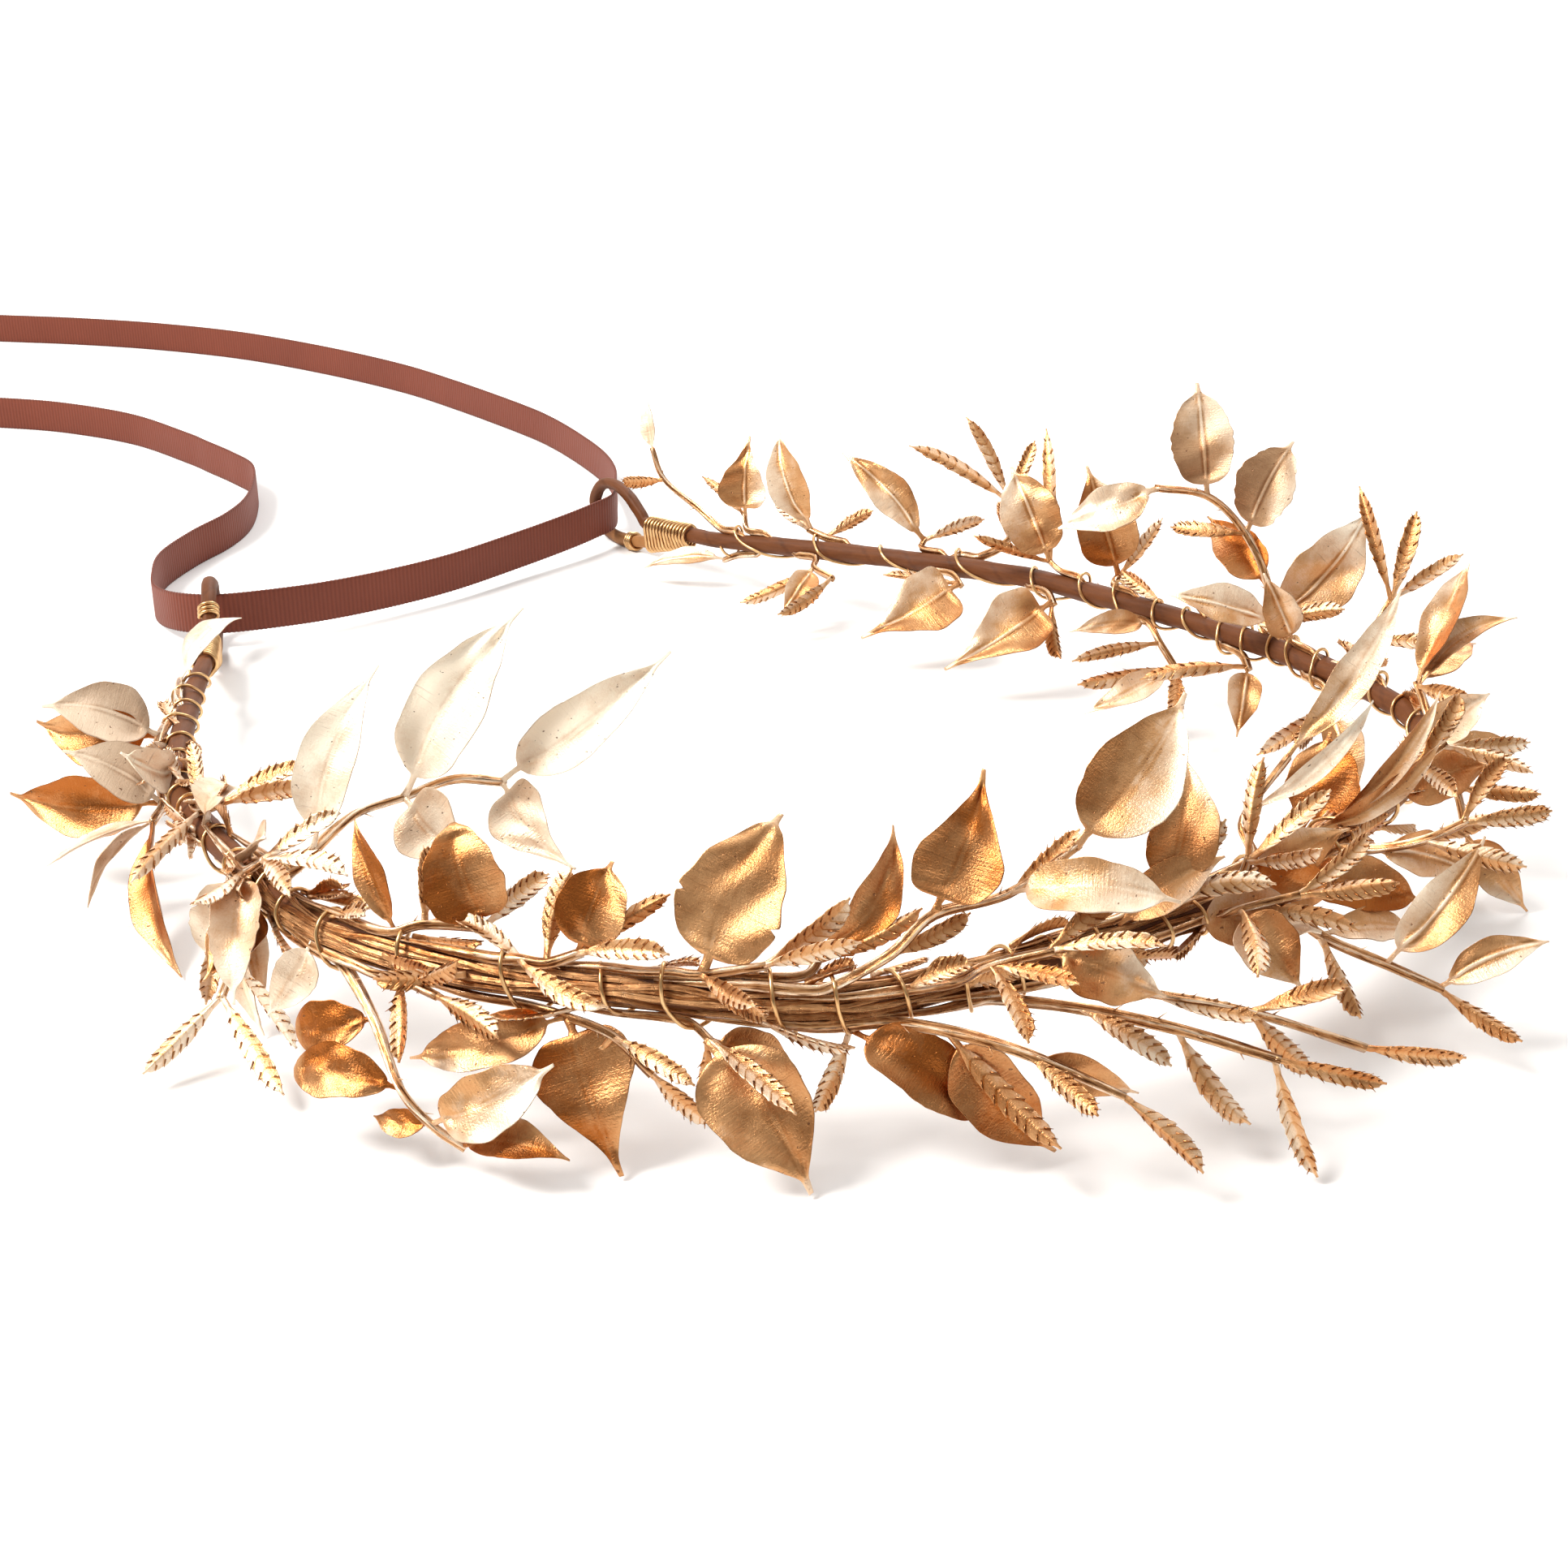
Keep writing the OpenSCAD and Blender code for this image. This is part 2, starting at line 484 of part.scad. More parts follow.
// Joins rings of equal length into one closed solid with flat ends
module loft(rings) {
    k = len(rings[0]);
    n = len(rings);
    polyhedron(
        points = [for (r = rings) for (p = r) p],
        faces = concat(
            [[for (j = [0 : k - 1]) j]],
            [for (i = [0 : n - 2]) for (j = [0 : k - 1])
                [i * k + j, (i + 1) * k + j, (i + 1) * k + (j + 1) % k]],
            [for (i = [0 : n - 2]) for (j = [0 : k - 1])
                [i * k + j, (i + 1) * k + (j + 1) % k, i * k + (j + 1) % k]],
            [[for (j = [k - 1 : -1 : 0]) (n - 1) * k + j]]
        ),
        convexity = 10
    );
}

// Joins rings of equal length into one closed solid that ends in two points
module spindle(start, rings, finish) {
    k = len(rings[0]);
    n = len(rings);
    last = n * k + 1;
    polyhedron(
        points = concat([start], [for (r = rings) for (p = r) p], [finish]),
        faces = concat(
            [for (j = [0 : k - 1]) [0, 1 + j, 1 + (j + 1) % k]],
            [for (i = [0 : n - 2]) for (j = [0 : k - 1])
                [1 + i * k + j, 1 + (i + 1) * k + j, 1 + (i + 1) * k + (j + 1) % k]],
            [for (i = [0 : n - 2]) for (j = [0 : k - 1])
                [1 + i * k + j, 1 + (i + 1) * k + (j + 1) % k, 1 + i * k + (j + 1) % k]],
            [for (j = [0 : k - 1]) [last, 1 + (n - 1) * k + (j + 1) % k, 1 + (n - 1) * k + j]]
        ),
        convexity = 10
    );
}

// Joins outer and inner rings into one closed sleeve that is open at both ends
module sleeve(outer, inner) {
    k = len(outer[0]);
    n = len(outer);
    first = n * k;
    polyhedron(
        points = concat([for (r = outer) for (p = r) p], [for (r = inner) for (p = r) p]),
        faces = concat(
            [for (i = [0 : n - 2]) for (j = [0 : k - 1])
                [i * k + j, (i + 1) * k + j, (i + 1) * k + (j + 1) % k]],
            [for (i = [0 : n - 2]) for (j = [0 : k - 1])
                [i * k + j, (i + 1) * k + (j + 1) % k, i * k + (j + 1) % k]],
            [for (i = [0 : n - 2]) for (j = [0 : k - 1])
                [first + i * k + j, first + (i + 1) * k + (j + 1) % k, first + (i + 1) * k + j]],
            [for (i = [0 : n - 2]) for (j = [0 : k - 1])
                [first + i * k + j, first + i * k + (j + 1) % k, first + (i + 1) * k + (j + 1) % k]],
            [for (end = [0, n - 1]) for (j = [0 : k - 1])
                end == 0 ? [j, (j + 1) % k, first + (j + 1) % k]
                : [end * k + (j + 1) % k, end * k + j, first + end * k + j]],
            [for (end = [0, n - 1]) for (j = [0 : k - 1])
                end == 0 ? [j, first + (j + 1) % k, first + j]
                : [end * k + (j + 1) % k, first + end * k + j, first + end * k + (j + 1) % k]]
        ),
        convexity = 10
    );
}

// A point below the wire's centre
function under_hoop(share, drop) = hoop_at(share) - up_at(share) * drop;

// The points of one end loop, going out from its neck. way is 1 beyond the end of
// the hoop and -1 before its start.
function loop_line(share, way) =
    let (neck = hoop_at(share), ahead = unit([along_at(share)[0], along_at(share)[1], 0]) * way)
    [for (p = concat([[0, 0]], LOOP))
        p[0] < 0 ? under_hoop(share + way * p[0] * loop_l / hoop_len, -p[1] * loop_h / 2)
        : neck + ahead * (p[0] * loop_l) + [0, 0, p[1] * loop_h / 2]];

// The taped wire of the hoop with both end loops, in one piece
module band_core() {
    right = loop_line(1, 1);
    left = loop_line(0, -1);
    left_part = [for (i = [len(left) - 1 : -1 : 1]) left[i]];
    right_part = [for (i = [1 : len(right) - 1]) right[i]];
    inside = len(hoop_line) - 1;
    line = concat(left_part, hoop_line, right_part);
    sideways = concat(
        [for (p = left_part) out_at(0)],
        [for (s = hoop_run) out_at(s / hoop_len)],
        [for (p = right_part) out_at(1)]);
    radii = concat(
        [for (p = left_part) loop_d / 2],
        [for (i = [0 : inside])
            min(core_d, loop_d + min(i, inside - i) * (core_d - loop_d) / taper_points) / 2],
        [for (p = right_part) loop_d / 2]);
    color("saddlebrown")
        loft(tube_rings(line, sideways, radii, wire_sides));
}

// The outline of the coil around the core and the wire end below it
function coil_ring(share, grow, half) =
    let (
        centre = hoop_at(share),
        side = out_at(share),
        rise = up_at(share),
        low = under_hoop(share, tail_drop * loop_h / 2),
        radius = loop_d / 2 + coil_gap + grow
    )
    concat(
        [for (k = [0 : half - 1]) let (a = 180 - 180 * k / (half - 1))
            centre + (radius + coil_gap) * (side * cos(a) + rise * sin(a))],
        [for (k = [0 : half - 1]) let (a = -180 * k / (half - 1))
            low + radius * (side * cos(a) + rise * sin(a))]
    );

// The fine wire coil that binds a neck, with a ridge for each pair of turns
module neck_coil(from, to) {
    steps = [for (i = [0 : 2 * coil_ridges]) i];
    shares = [for (i = steps) from + (to - from) * i / (2 * coil_ridges)];
    color("gold")
        sleeve(
            [for (i = steps) coil_ring(shares[i], coil_t * (1 - coil_groove * ((i + 1) % 2)), coil_half)],
            [for (i = steps) coil_ring(shares[i], 0, coil_half)]
        );
}

// The bundle of stems around the core over the front of the hoop
module stem_bundle() {
    shares = concat(
        [bundle_from],
        [for (s = hoop_run / hoop_len) if (s > bundle_from && s < bundle_to) s],
        [bundle_to]);
    line = [for (s = shares) hoop_at(s)];
    sideways = [for (s = shares) out_at(s)];
    outer = tube_rings(line, sideways, [for (s = shares) bundle_d / 2], 2 * bundle_lobes);
    inner = tube_rings(line, sideways, [for (s = shares) core_d / 2 + rest], 2 * bundle_lobes);
    color("peru")
        sleeve(
            [for (i = [0 : len(line) - 1]) [for (k = [0 : 2 * bundle_lobes - 1])
                line[i] + (outer[i][k] - line[i]) * (1 - bundle_groove * (k % 2))]],
            inner
        );
}

// The flat ribbon, standing on its edge
module ribbon() {
    half = [0, 0, ribbon_w / 2];
    line = [for (p = smooth_line(ROUTE, 2))
        [p[0] - centre_x, p[1] - centre_y, 0] + half + [0, 0, max(0, p[2]) * (neck_z - ribbon_w / 2)]];
    color("sienna")
        loft([for (i = [0 : len(line) - 1])
            let (
                travel = line[min(len(line) - 1, i + 1)] - line[max(0, i - 1)],
                side = unit([travel[1], -travel[0], 0]) * ribbon_t / 2
            )
            [line[i] - side + half, line[i] + side + half, line[i] + side - half, line[i] - side - half]]);
}

// The direction that a leaf's upper face is turned to
function facing(look, rise) = [cos(rise) * cos(look), cos(rise) * sin(look), sin(rise)];

// The rings of a blade from base along d, which bends up and cups towards its rims
function blade_rings(outline, base, d, half, thick, turned, bend, cup) =
    let (
        side = unit(cross(turned, d)),
        top = cross(unit(d), side)
    )
    [for (row = outline)
        let (
            centre = base + d * row[0] + top * (norm(d) * bend * 4 * row[0] * (1 - row[0])),
            reach = side * (half * row[1]),
            rim = top * (half * row[1] * cup),
            rib = top * (thick / 2 * (blade_rim + (1 - blade_rim) * row[1]))
        )
        [centre + reach + rim, centre + rib, centre - reach + rim, centre - rib]];

// One spray: its foot tied along the wire, its stem, its leaves and its sprigs
module spray(row) {
    share = row[SHARE];
    under = share > bundle_from && share < bundle_to ? bundle_d / 2 : core_d / 2;
    spoke = in_frame(share, [0, cos(row[SLOT]), sin(row[SLOT])]);
    foot = hoop_at(share) + spoke * (under + rest + stem_d / 2);
    way = row[STEM][0][0] < 0 ? -1 : 1;
    tail = foot - along_at(share) * (way * foot_l * stem_d);
    stem = concat([foot], [for (p = row[STEM]) foot + in_frame(share, p) * stem_step]);
    last = len(stem) - 1;
    tip = stem[last] + unit(stem[last] - stem[last - 1]) * (stem_over * stem_d);
    line = concat([tail], [for (i = [0 : last - 1]) stem[i]], [tip]);
    color("goldenrod") {
        loft(tube_rings(line, [for (p = line) spoke], [for (p = line) stem_d / 2], stem_sides));
        for (leaf = row[LEAVES]) {
            base = stem[leaf[0]];
            d = in_frame(share, [leaf[1], leaf[2], leaf[3]]) * leaf_l;
            spindle(
                base,
                blade_rings(LEAF_OUTLINE, base, d, leaf[4] * leaf_w / 2, leaf_t,
                    facing(leaf[5], leaf[6]), leaf[7], leaf_cup),
                base + d);
        }
        for (sprig = row[SPRIGS]) {
            base = stem[sprig[0]];
            d = in_frame(share, [sprig[1], sprig[2], sprig[3]]) * sprig_l;
            spindle(
                base,
                blade_rings(SPRIG_OUTLINE, base, d, sprig_w / 2, sprig_t,
                    facing(row[TURN][0], row[TURN][1]), 0, 0),
                base + d);
        }
    }
}

band_core();
neck_coil(0, coil_l / hoop_len);  // neck_coil_left
neck_coil(1 - coil_l / hoop_len, 1);  // neck_coil_right
stem_bundle();
ribbon();
for (row = SPRAYS)
    spray(row);
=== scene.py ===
# %% [markdown]
# A golden leaf crown lies on a pale table. Its hoop is a wire wound with brown paper tape, open at the back,
# and gilded leaves and serrated sprigs are tied along it with fine wire. A ribbon runs through a loop at each
# end. The imported solids are loaded first: they give the frame that every finer piece below is fitted to.
# The solids' own box is kept.

# %% Load the imported crown
import math
import bpy
import numpy as np
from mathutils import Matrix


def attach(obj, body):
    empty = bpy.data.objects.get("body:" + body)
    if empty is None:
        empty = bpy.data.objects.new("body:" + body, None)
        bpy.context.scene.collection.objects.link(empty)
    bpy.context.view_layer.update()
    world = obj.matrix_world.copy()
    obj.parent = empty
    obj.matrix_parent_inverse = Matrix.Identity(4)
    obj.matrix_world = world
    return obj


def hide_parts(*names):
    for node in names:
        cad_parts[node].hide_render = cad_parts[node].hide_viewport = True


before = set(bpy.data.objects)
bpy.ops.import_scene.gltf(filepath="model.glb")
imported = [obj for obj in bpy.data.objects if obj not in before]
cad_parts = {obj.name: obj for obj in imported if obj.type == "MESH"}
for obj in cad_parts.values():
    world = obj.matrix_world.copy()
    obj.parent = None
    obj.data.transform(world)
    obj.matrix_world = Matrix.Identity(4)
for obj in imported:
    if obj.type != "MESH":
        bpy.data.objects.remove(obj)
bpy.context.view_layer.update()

# %% [markdown]
# The crown is described in millimetres, as its maker would measure it, and Blender
# works in metres, so one factor turns one into the other. The sizes below are the
# crown's own: the same values, tables and curve rules shaped the solids, so that a
# leaf built here lies exactly where the plain leaf of the solid lies.

# %% Sizes
MM = 0.001
HOOP_W = 146
HOOP_L = 175
HOOP_H = 18
CORE_D = 3.2
LOOP_L = 18
LOOP_H = 10
LOOP_D = 2.3
COIL_L = 13
LEAF_L = 20
LEAF_W = 9
SPRIG_L = 12
SPRIG_W = 3.4
STEM_STEP = 10
STEM_D = 1.2
BUNDLE_D = 4.6
BUNDLE = (0.24, 0.605)
RIBBON_W = 6.8
RIBBON_T = 0.5
CENTRE = np.array([-0.005 * HOOP_W, 0.4755 * HOOP_L, 0])
NECK_Z = (LOOP_H + LOOP_D) / 2
REST = 0.1  # how far a stem stands off what it is tied to
NEARBY = 0.004  # the step, as a share of the hoop, that gives its direction
TAPER_POINTS = 5  # points over which the wire reaches its full thickness
TAIL_DROP = 0.66  # where a loop's tail ends under the wire, in half loop heights
FOOT_L = 2.5  # a stem's tied foot, in stem widths
STEM_OVER = 0.5  # how far a stem runs past its last point, in stem widths
print("hoop", HOOP_W, "x", HOOP_L, "mm, leaves", LEAF_L, "mm, ribbon", RIBBON_W, "mm wide")

# %% [markdown]
# Nearly everything here is a line with a shape carried along it: the hoop, the
# ribbon, a stem, a wire. A smooth line through a few typed points is easier to read
# and to change than hundreds of points, so this rule fills in the curve between them.

# %% Lines
def unit(v):
    """The same direction with a length of one"""
    return v / np.linalg.norm(v, axis=-1, keepdims=True)


def smooth_line(rows, steps):
    """A smooth line through the given rows, with some steps from each row to the next"""
    p = np.asarray(rows, float)
    p = np.vstack([2 * p[0] - p[1], p, 2 * p[-1] - p[-2]])
    line = []
    for a, b, c, d in zip(p, p[1:], p[2:], p[3:]):
        for t in np.arange(steps) / steps:
            bend = (2 * a - 5 * b + 4 * c - d) * t ** 2 + (3 * b - a - 3 * c + d) * t ** 3
            line.append((2 * b + (c - a) * t + bend) / 2)
    line.append(p[-2])
    return np.array(line)


def run_of(line):
    """How far along a line each of its points lies"""
    return np.concatenate([[0], np.cumsum(np.linalg.norm(np.diff(line, axis=0), axis=1))])


def ease(x, low, high):
    """0 below low, 1 above high, smooth between"""
    t = np.clip((x - low) / (high - low), 0, 1)
    return t * t * (3 - 2 * t)


def pick(line, run, where):
    """The points of a line at the given distances along it"""
    return np.stack([np.interp(where, run, line[:, axis]) for axis in range(line.shape[1])], axis=-1)


def travel_of(line):
    """The direction of a line at each of its points"""
    ahead = np.vstack([line[1:], line[-1:]])
    behind = np.vstack([line[:1], line[:-1]])
    return unit(ahead - behind)


def level_side(along):
    """The level direction to the right of each direction along a line"""
    return unit(np.stack([along[..., 1], -along[..., 0], 0 * along[..., 0]], axis=-1))


print("a smooth line through 3 points in 4 steps:", len(smooth_line([[0, 0], [1, 0], [2, 1]], 4)), "points")

# %% [markdown]
# The picture is taken from in front and to the left, looking down on the crown by 25
# degrees with a lens a little longer than normal. The camera's place and turn are
# plain numbers, so the view is the same in every run.

# %% Camera
CAMERA_PLACE = (-0.15484, -0.22996, 0.1333)
CAMERA_PITCH = 25
CAMERA_YAW = -36
CAMERA_LENS = 50.59
CAMERA_SENSOR = 36
CAMERA_NEAR = 0.01


def put(name, data):
    """Puts an object made of some data into the scene, at the origin"""
    made = bpy.data.objects.new(name, data)
    bpy.context.collection.objects.link(made)
    return made


camera_data = bpy.data.cameras.new("camera")
camera_data.lens = CAMERA_LENS
camera_data.sensor_width = CAMERA_SENSOR
camera_data.clip_start = CAMERA_NEAR
camera = put("camera", camera_data)
camera.location = CAMERA_PLACE
camera.rotation_euler = (math.radians(90 - CAMERA_PITCH), 0, math.radians(CAMERA_YAW))
bpy.context.scene.camera = camera
print("camera at", CAMERA_PLACE, "m, pitched", CAMERA_PITCH, "degrees down")

# %% [markdown]
# Every shape that is swept along a line is a row of rings, joined by four-sided faces
# and closed at both ends. This small class gathers such rings for one piece, together
# with what the materials want to know at each point: how deep the gold is there, how
# dull it is, and where on the leaf or stem the point lies.

# %% Rings into a piece
class Shell:
    """Closed rings of points, joined into the mesh of one piece"""

    def __init__(self):
        self.points = []
        self.faces = []
        self.finish = []
        self.tone = []
        self.dull = []
        self.place = []
        self.count = 0

    def add(self, rings, place, tone=0.5, dull=0.0, finish=0):
        """Joins rings of shape (stations, around, 3), in millimetres, and closes both ends"""
        n, k = rings.shape[:2]
        first = self.count
        ends = np.stack([rings[0].mean(axis=0), rings[-1].mean(axis=0)])
        end_place = np.stack([place[0].mean(axis=0), place[-1].mean(axis=0)])
        self.points.append(np.concatenate([rings.reshape(-1, 3), ends]))
        self.place.append(np.concatenate([place.reshape(-1, 3), end_place]))
        for values, kept in ((tone, self.tone), (dull, self.dull)):
            full = np.broadcast_to(values, (n, k))
            kept.append(np.concatenate([full.reshape(-1), [full[0].mean(), full[-1].mean()]]))
        here = first + np.arange(n * k).reshape(n, k)
        beside = np.roll(here, -1, axis=1)
        quads = np.stack([here[:-1], beside[:-1], beside[1:], here[1:]], axis=-1).reshape(-1, 4)
        start = np.stack([np.full(k, first + n * k), beside[0], here[0]], axis=-1)
        end = np.stack([np.full(k, first + n * k + 1), here[-1], beside[-1]], axis=-1)
        for faces in (quads, start, end):
            self.faces.extend(faces.tolist())
            self.finish.extend([finish] * len(faces))
        self.count += n * k + 2

    def piece(self, name, materials):
        """Turns what was gathered into an object in metres"""
        mesh = bpy.data.meshes.new(name)
        mesh.from_pydata((np.concatenate(self.points) * MM).tolist(), [], self.faces)
        for material in materials:
            mesh.materials.append(material)
        mesh.polygons.foreach_set("material_index", self.finish)
        mesh.shade_smooth()
        for title, values in (("tone", self.tone), ("dull", self.dull)):
            made = mesh.attributes.new(title, "FLOAT", "POINT")
            made.data.foreach_set("value", np.concatenate(values))
        made = mesh.attributes.new("place", "FLOAT_VECTOR", "POINT")
        made.data.foreach_set("vector", np.concatenate(self.place).reshape(-1))
        return put(name, mesh)


def places(along, across, own=0.0):
    """Where points lie: millimetres along, how far across or around, and the piece's own number"""
    return np.stack(np.broadcast_arrays(along, across, own), axis=-1)


def ring_places(run, around):
    """Where a tube's points lie: millimetres along it and share of a turn around it"""
    return places(run[:, None], np.arange(around) / around)


def both_faces(over, under):
    """What the upper face of a blade has, then what its lower face has on the way back"""
    return np.concatenate([over, under[:, ::-1]], axis=1)


def tube(line, sideways, radii, around):
    """Rings of a tube along a line, with a radius for each point of each ring"""
    travel = travel_of(line)
    side = unit(sideways - travel * (sideways * travel).sum(axis=1, keepdims=True))
    rise = np.cross(travel, side)
    angle = 2 * np.pi * np.arange(around) / around
    spoke = side[:, None, :] * np.cos(angle)[None, :, None] + rise[:, None, :] * np.sin(angle)[None, :, None]
    return line[:, None, :] + spoke * radii[:, :, None]


print("a shell closes its rings at both ends, so each piece is one watertight skin or several")

# %% [markdown]
# Materials are sums: a base gold, plus a deeper gold where the leaf is thick, minus a
# pit here and there. Written as Python, `deep * 0.7 + noise` says this at a glance,
# so a small class wraps a socket and turns each operator into a Math node. All other
# nodes come from one method, which takes the node's type, its settings and its inputs.

# %% Expressions on sockets
class Value:
    """A number that varies over a surface or along a line, as a node's output socket"""

    def __init__(self, nodes, socket):
        self.nodes = nodes
        self.socket = socket

    def math(self, operation, a, b=0.0, clamp=False):
        """One Math node on two numbers or values"""
        return self.nodes.node(
            "ShaderNodeMath", {"operation": operation, "use_clamp": clamp}, {0: a, 1: b})

    def __add__(self, other):
        return self.math("ADD", self, other)

    __radd__ = __add__

    def __sub__(self, other):
        return self.math("SUBTRACT", self, other)

    def __rsub__(self, other):
        return self.math("SUBTRACT", other, self)

    def __mul__(self, other):
        return self.math("MULTIPLY", self, other)

    __rmul__ = __mul__

    def __truediv__(self, other):
        return self.math("DIVIDE", self, other)

    def __rtruediv__(self, other):
        return self.math("DIVIDE", other, self)

    def clamped(self):
        """The same value, kept between 0 and 1"""
        return self.math("ADD", self, 0.0, clamp=True)

    def size(self):
        """The same value without its sign"""
        return self.math("ABSOLUTE", self)

    def cosine(self):
        """The cosine of the value, an angle in radians"""
        return self.math("COSINE", self)

    def sine(self):
        """The sine of the value, an angle in radians"""
        return self.math("SINE", self)

    def fraction(self):
        """What is left of the value without its whole number"""
        return self.math("FRACT", self)

    def around(self, strength):
        """Spreads a noise, which stays near a half, to both sides of zero"""
        return (self - 0.5) * strength

    def step(self, low, high):
        """0 below low, 1 above high, smooth between; low may be the higher one"""
        return self.nodes.node(
            "ShaderNodeMapRange", {"interpolation_type": "SMOOTHSTEP"},
            {"Value": self, "From Min": low, "From Max": high})

    def twin(self, out):
        """Another output of the same node"""
        return Value(self.nodes, self.socket.node.outputs[out])


class Nodes:
    """A node tree under construction"""

    def __init__(self, tree):
        self.tree = tree

    def join(self, value, socket):
        """Feeds a socket with another node's value, or sets it to a constant"""
        if isinstance(value, Value):
            self.tree.links.new(value.socket, socket)
        else:
            socket.default_value = value

    def node(self, kind, settings=None, sockets=None, out=0):
        """Adds a node of a kind, with its settings, then its inputs, and gives one output"""
        made = self.tree.nodes.new(kind)
        for name, value in (settings or {}).items():
            setattr(made, name, value)
        for name, value in (sockets or {}).items():
            self.join(value, made.inputs[name])
        return Value(self, made.outputs[out])


MIX_A, MIX_B, MIX_OUT = 6, 7, 2  # a Mix node's colour sockets come after its other kinds


class Finish(Nodes):
    """One material, painted with expressions"""

    def __init__(self, name, **constants):
        self.material = bpy.data.materials.new(name)
        self.material.use_nodes = True
        super().__init__(self.material.node_tree)
        self.shader = self.tree.nodes["Principled BSDF"]
        for socket, value in constants.items():
            self.shader.inputs[socket.replace("_", " ")].default_value = value

    def attribute(self, name, out="Fac"):
        """What the mesh stores at each point under a name, as a number or a vector"""
        return self.node("ShaderNodeAttribute", {"attribute_name": name}, {}, out)

    def millimetres(self):
        """The point's place on the object, in millimetres"""
        place = self.node("ShaderNodeTexCoord", {}, {}, "Object")
        return self.node("ShaderNodeVectorMath", {"operation": "SCALE"}, {0: place, "Scale": 1 / MM})

    def stretched(self, vector, x, y, z):
        """A place with each of its directions stretched by a factor of its own"""
        return self.node("ShaderNodeVectorMath", {"operation": "MULTIPLY"}, {0: vector, 1: (x, y, z)})

    def noise(self, vector, scale, detail=2.0, rough=0.5):
        """A cloudy value from 0 to 1, with about so many clouds to a millimetre"""
        return self.node(
            "ShaderNodeTexNoise", {},
            {"Vector": vector, "Scale": scale, "Detail": detail, "Roughness": rough})

    def mix(self, factor, a, b):
        """Colour a where the factor is 0, colour b where it is 1"""
        return self.node(
            "ShaderNodeMix", {"data_type": "RGBA"}, {0: factor, MIX_A: a, MIX_B: b}, MIX_OUT)

    def gold(self, depth, deepest):
        """Pale gold at depth 0, warm gold at a half, and the deepest colour at 1"""
        shallow = self.mix((depth * 2).clamped(), PALE_GOLD, WARM_GOLD)
        return self.mix((depth * 2 - 1).clamped(), shallow, deepest)

    def bump(self, height, depth, strength=1.0):
        """Raises the surface by the height, 0 to 1, times a depth in millimetres"""
        return self.node(
            "ShaderNodeBump", {}, {"Strength": strength, "Distance": depth * MM, "Height": height})

    def paint(self, **sockets):
        """Feeds or sets the shader's sockets, named with an underscore for each space"""
        for name, value in sockets.items():
            self.join(value, self.shader.inputs[name.replace("_", " ")])
        return self.material


print("operators on sockets are ready")

# %% [markdown]
# The ribbon is a narrow grosgrain, a firm weave with a rib across it about every
# three quarters of a millimetre. It stands on its edge, comes in from beyond the
# picture, passes through the right loop, crosses to the left loop and leaves the
# picture again. A cloth simulation would let it fall over, and the real one holds its
# curves because it is stiff, so its route is typed and the ribs are real geometry.

# %% Ribbon route
RIBBON_ROUTE = [
    (2, 419, 0), (8, 413, 0), (23, 398, 0), (37, 381, 0), (50, 360, 0), (60, 335, 0),
    (67, 310, 0), (70, 289, 0), (72, 264, 0), (72, 250, 0), (70, 234, 0), (67, 221, 0.1),
    (62, 209, 0.4), (56, 199, 0.8), (50, 190, 1), (44, 187, 1), (37, 185, 0.9), (26, 183, 0.7),
    (11, 180, 0.6), (-2, 179, 0.6), (-14, 179, 0.7), (-25, 180, 0.9), (-32, 182, 1),
    (-36, 188, 0.8), (-36, 197, 0.3), (-33, 206, 0), (-28, 215, 0), (-19, 223, 0),
    (-10, 229, 0), (-3, 236, 0), (3, 246, 0), (7, 256, 0), (7, 266, 0), (6, 276, 0),
    (5, 285, 0), (1, 305, 0), (-8, 323, 0), (-18, 335, 0), (-24, 340, 0),
]
RIB_PITCH = 0.75
RIB_STATIONS = 4
ROUTE_STEPS = 12

route = smooth_line(RIBBON_ROUTE, ROUTE_STEPS)
ribbon_line = route - CENTRE
ribbon_line[:, 2] = RIBBON_W / 2 + np.maximum(0, route[:, 2]) * (NECK_Z - RIBBON_W / 2)
route_run = run_of(ribbon_line)
ribs = int(route_run[-1] / RIB_PITCH)
ribbon_run = np.linspace(0, route_run[-1], ribs * RIB_STATIONS + 1)
ribbon_line = pick(ribbon_line, route_run, ribbon_run)
print("ribbon:", round(route_run[-1], 1), "mm long with", ribs, "ribs")

# %% Grosgrain
RIBBON_DARK = (0.105, 0.021, 0.010, 1)
RIBBON_LIT = (0.240, 0.056, 0.028, 1)
SELVEDGE_FROM = 2.9
SELVEDGE_TO = 3.35

grosgrain = Finish("grosgrain", Sheen_Weight=0.10, Sheen_Roughness=0.4, Specular_IOR_Level=0.3)
ribbon_place = grosgrain.attribute("place", "Vector")
along_ribbon = grosgrain.node("ShaderNodeSeparateXYZ", {}, {0: ribbon_place})
selvedge = along_ribbon.twin("Y").size().step(SELVEDGE_FROM, SELVEDGE_TO)
rib_top = (along_ribbon * (2 * math.pi / RIB_PITCH)).cosine() * 0.5 + 0.5
thread = grosgrain.noise(grosgrain.stretched(ribbon_place, 1.4, 9.0, 1.0), 1.0, 3.0)
cloud = grosgrain.noise(grosgrain.millimetres(), 0.05, 2.0)
# Painted shade: the valleys between the ribs are painted darker. The thread, the cloud and the darker
# selvedge are the cloth's own.
cloth_and_rib_shade = rib_top * 0.28 + thread * 0.40 + cloud * 0.40 - selvedge * 0.30
cloth = grosgrain.mix(cloth_and_rib_shade.clamped(), RIBBON_DARK, RIBBON_LIT)
grosgrain.paint(
    Base_Color=cloth,
    Roughness=0.52 + thread * 0.25,
    Normal=grosgrain.bump(rib_top * 0.6 + thread * 0.4, 0.08, 0.6))
print("grosgrain: a rib every", RIB_PITCH, "mm")

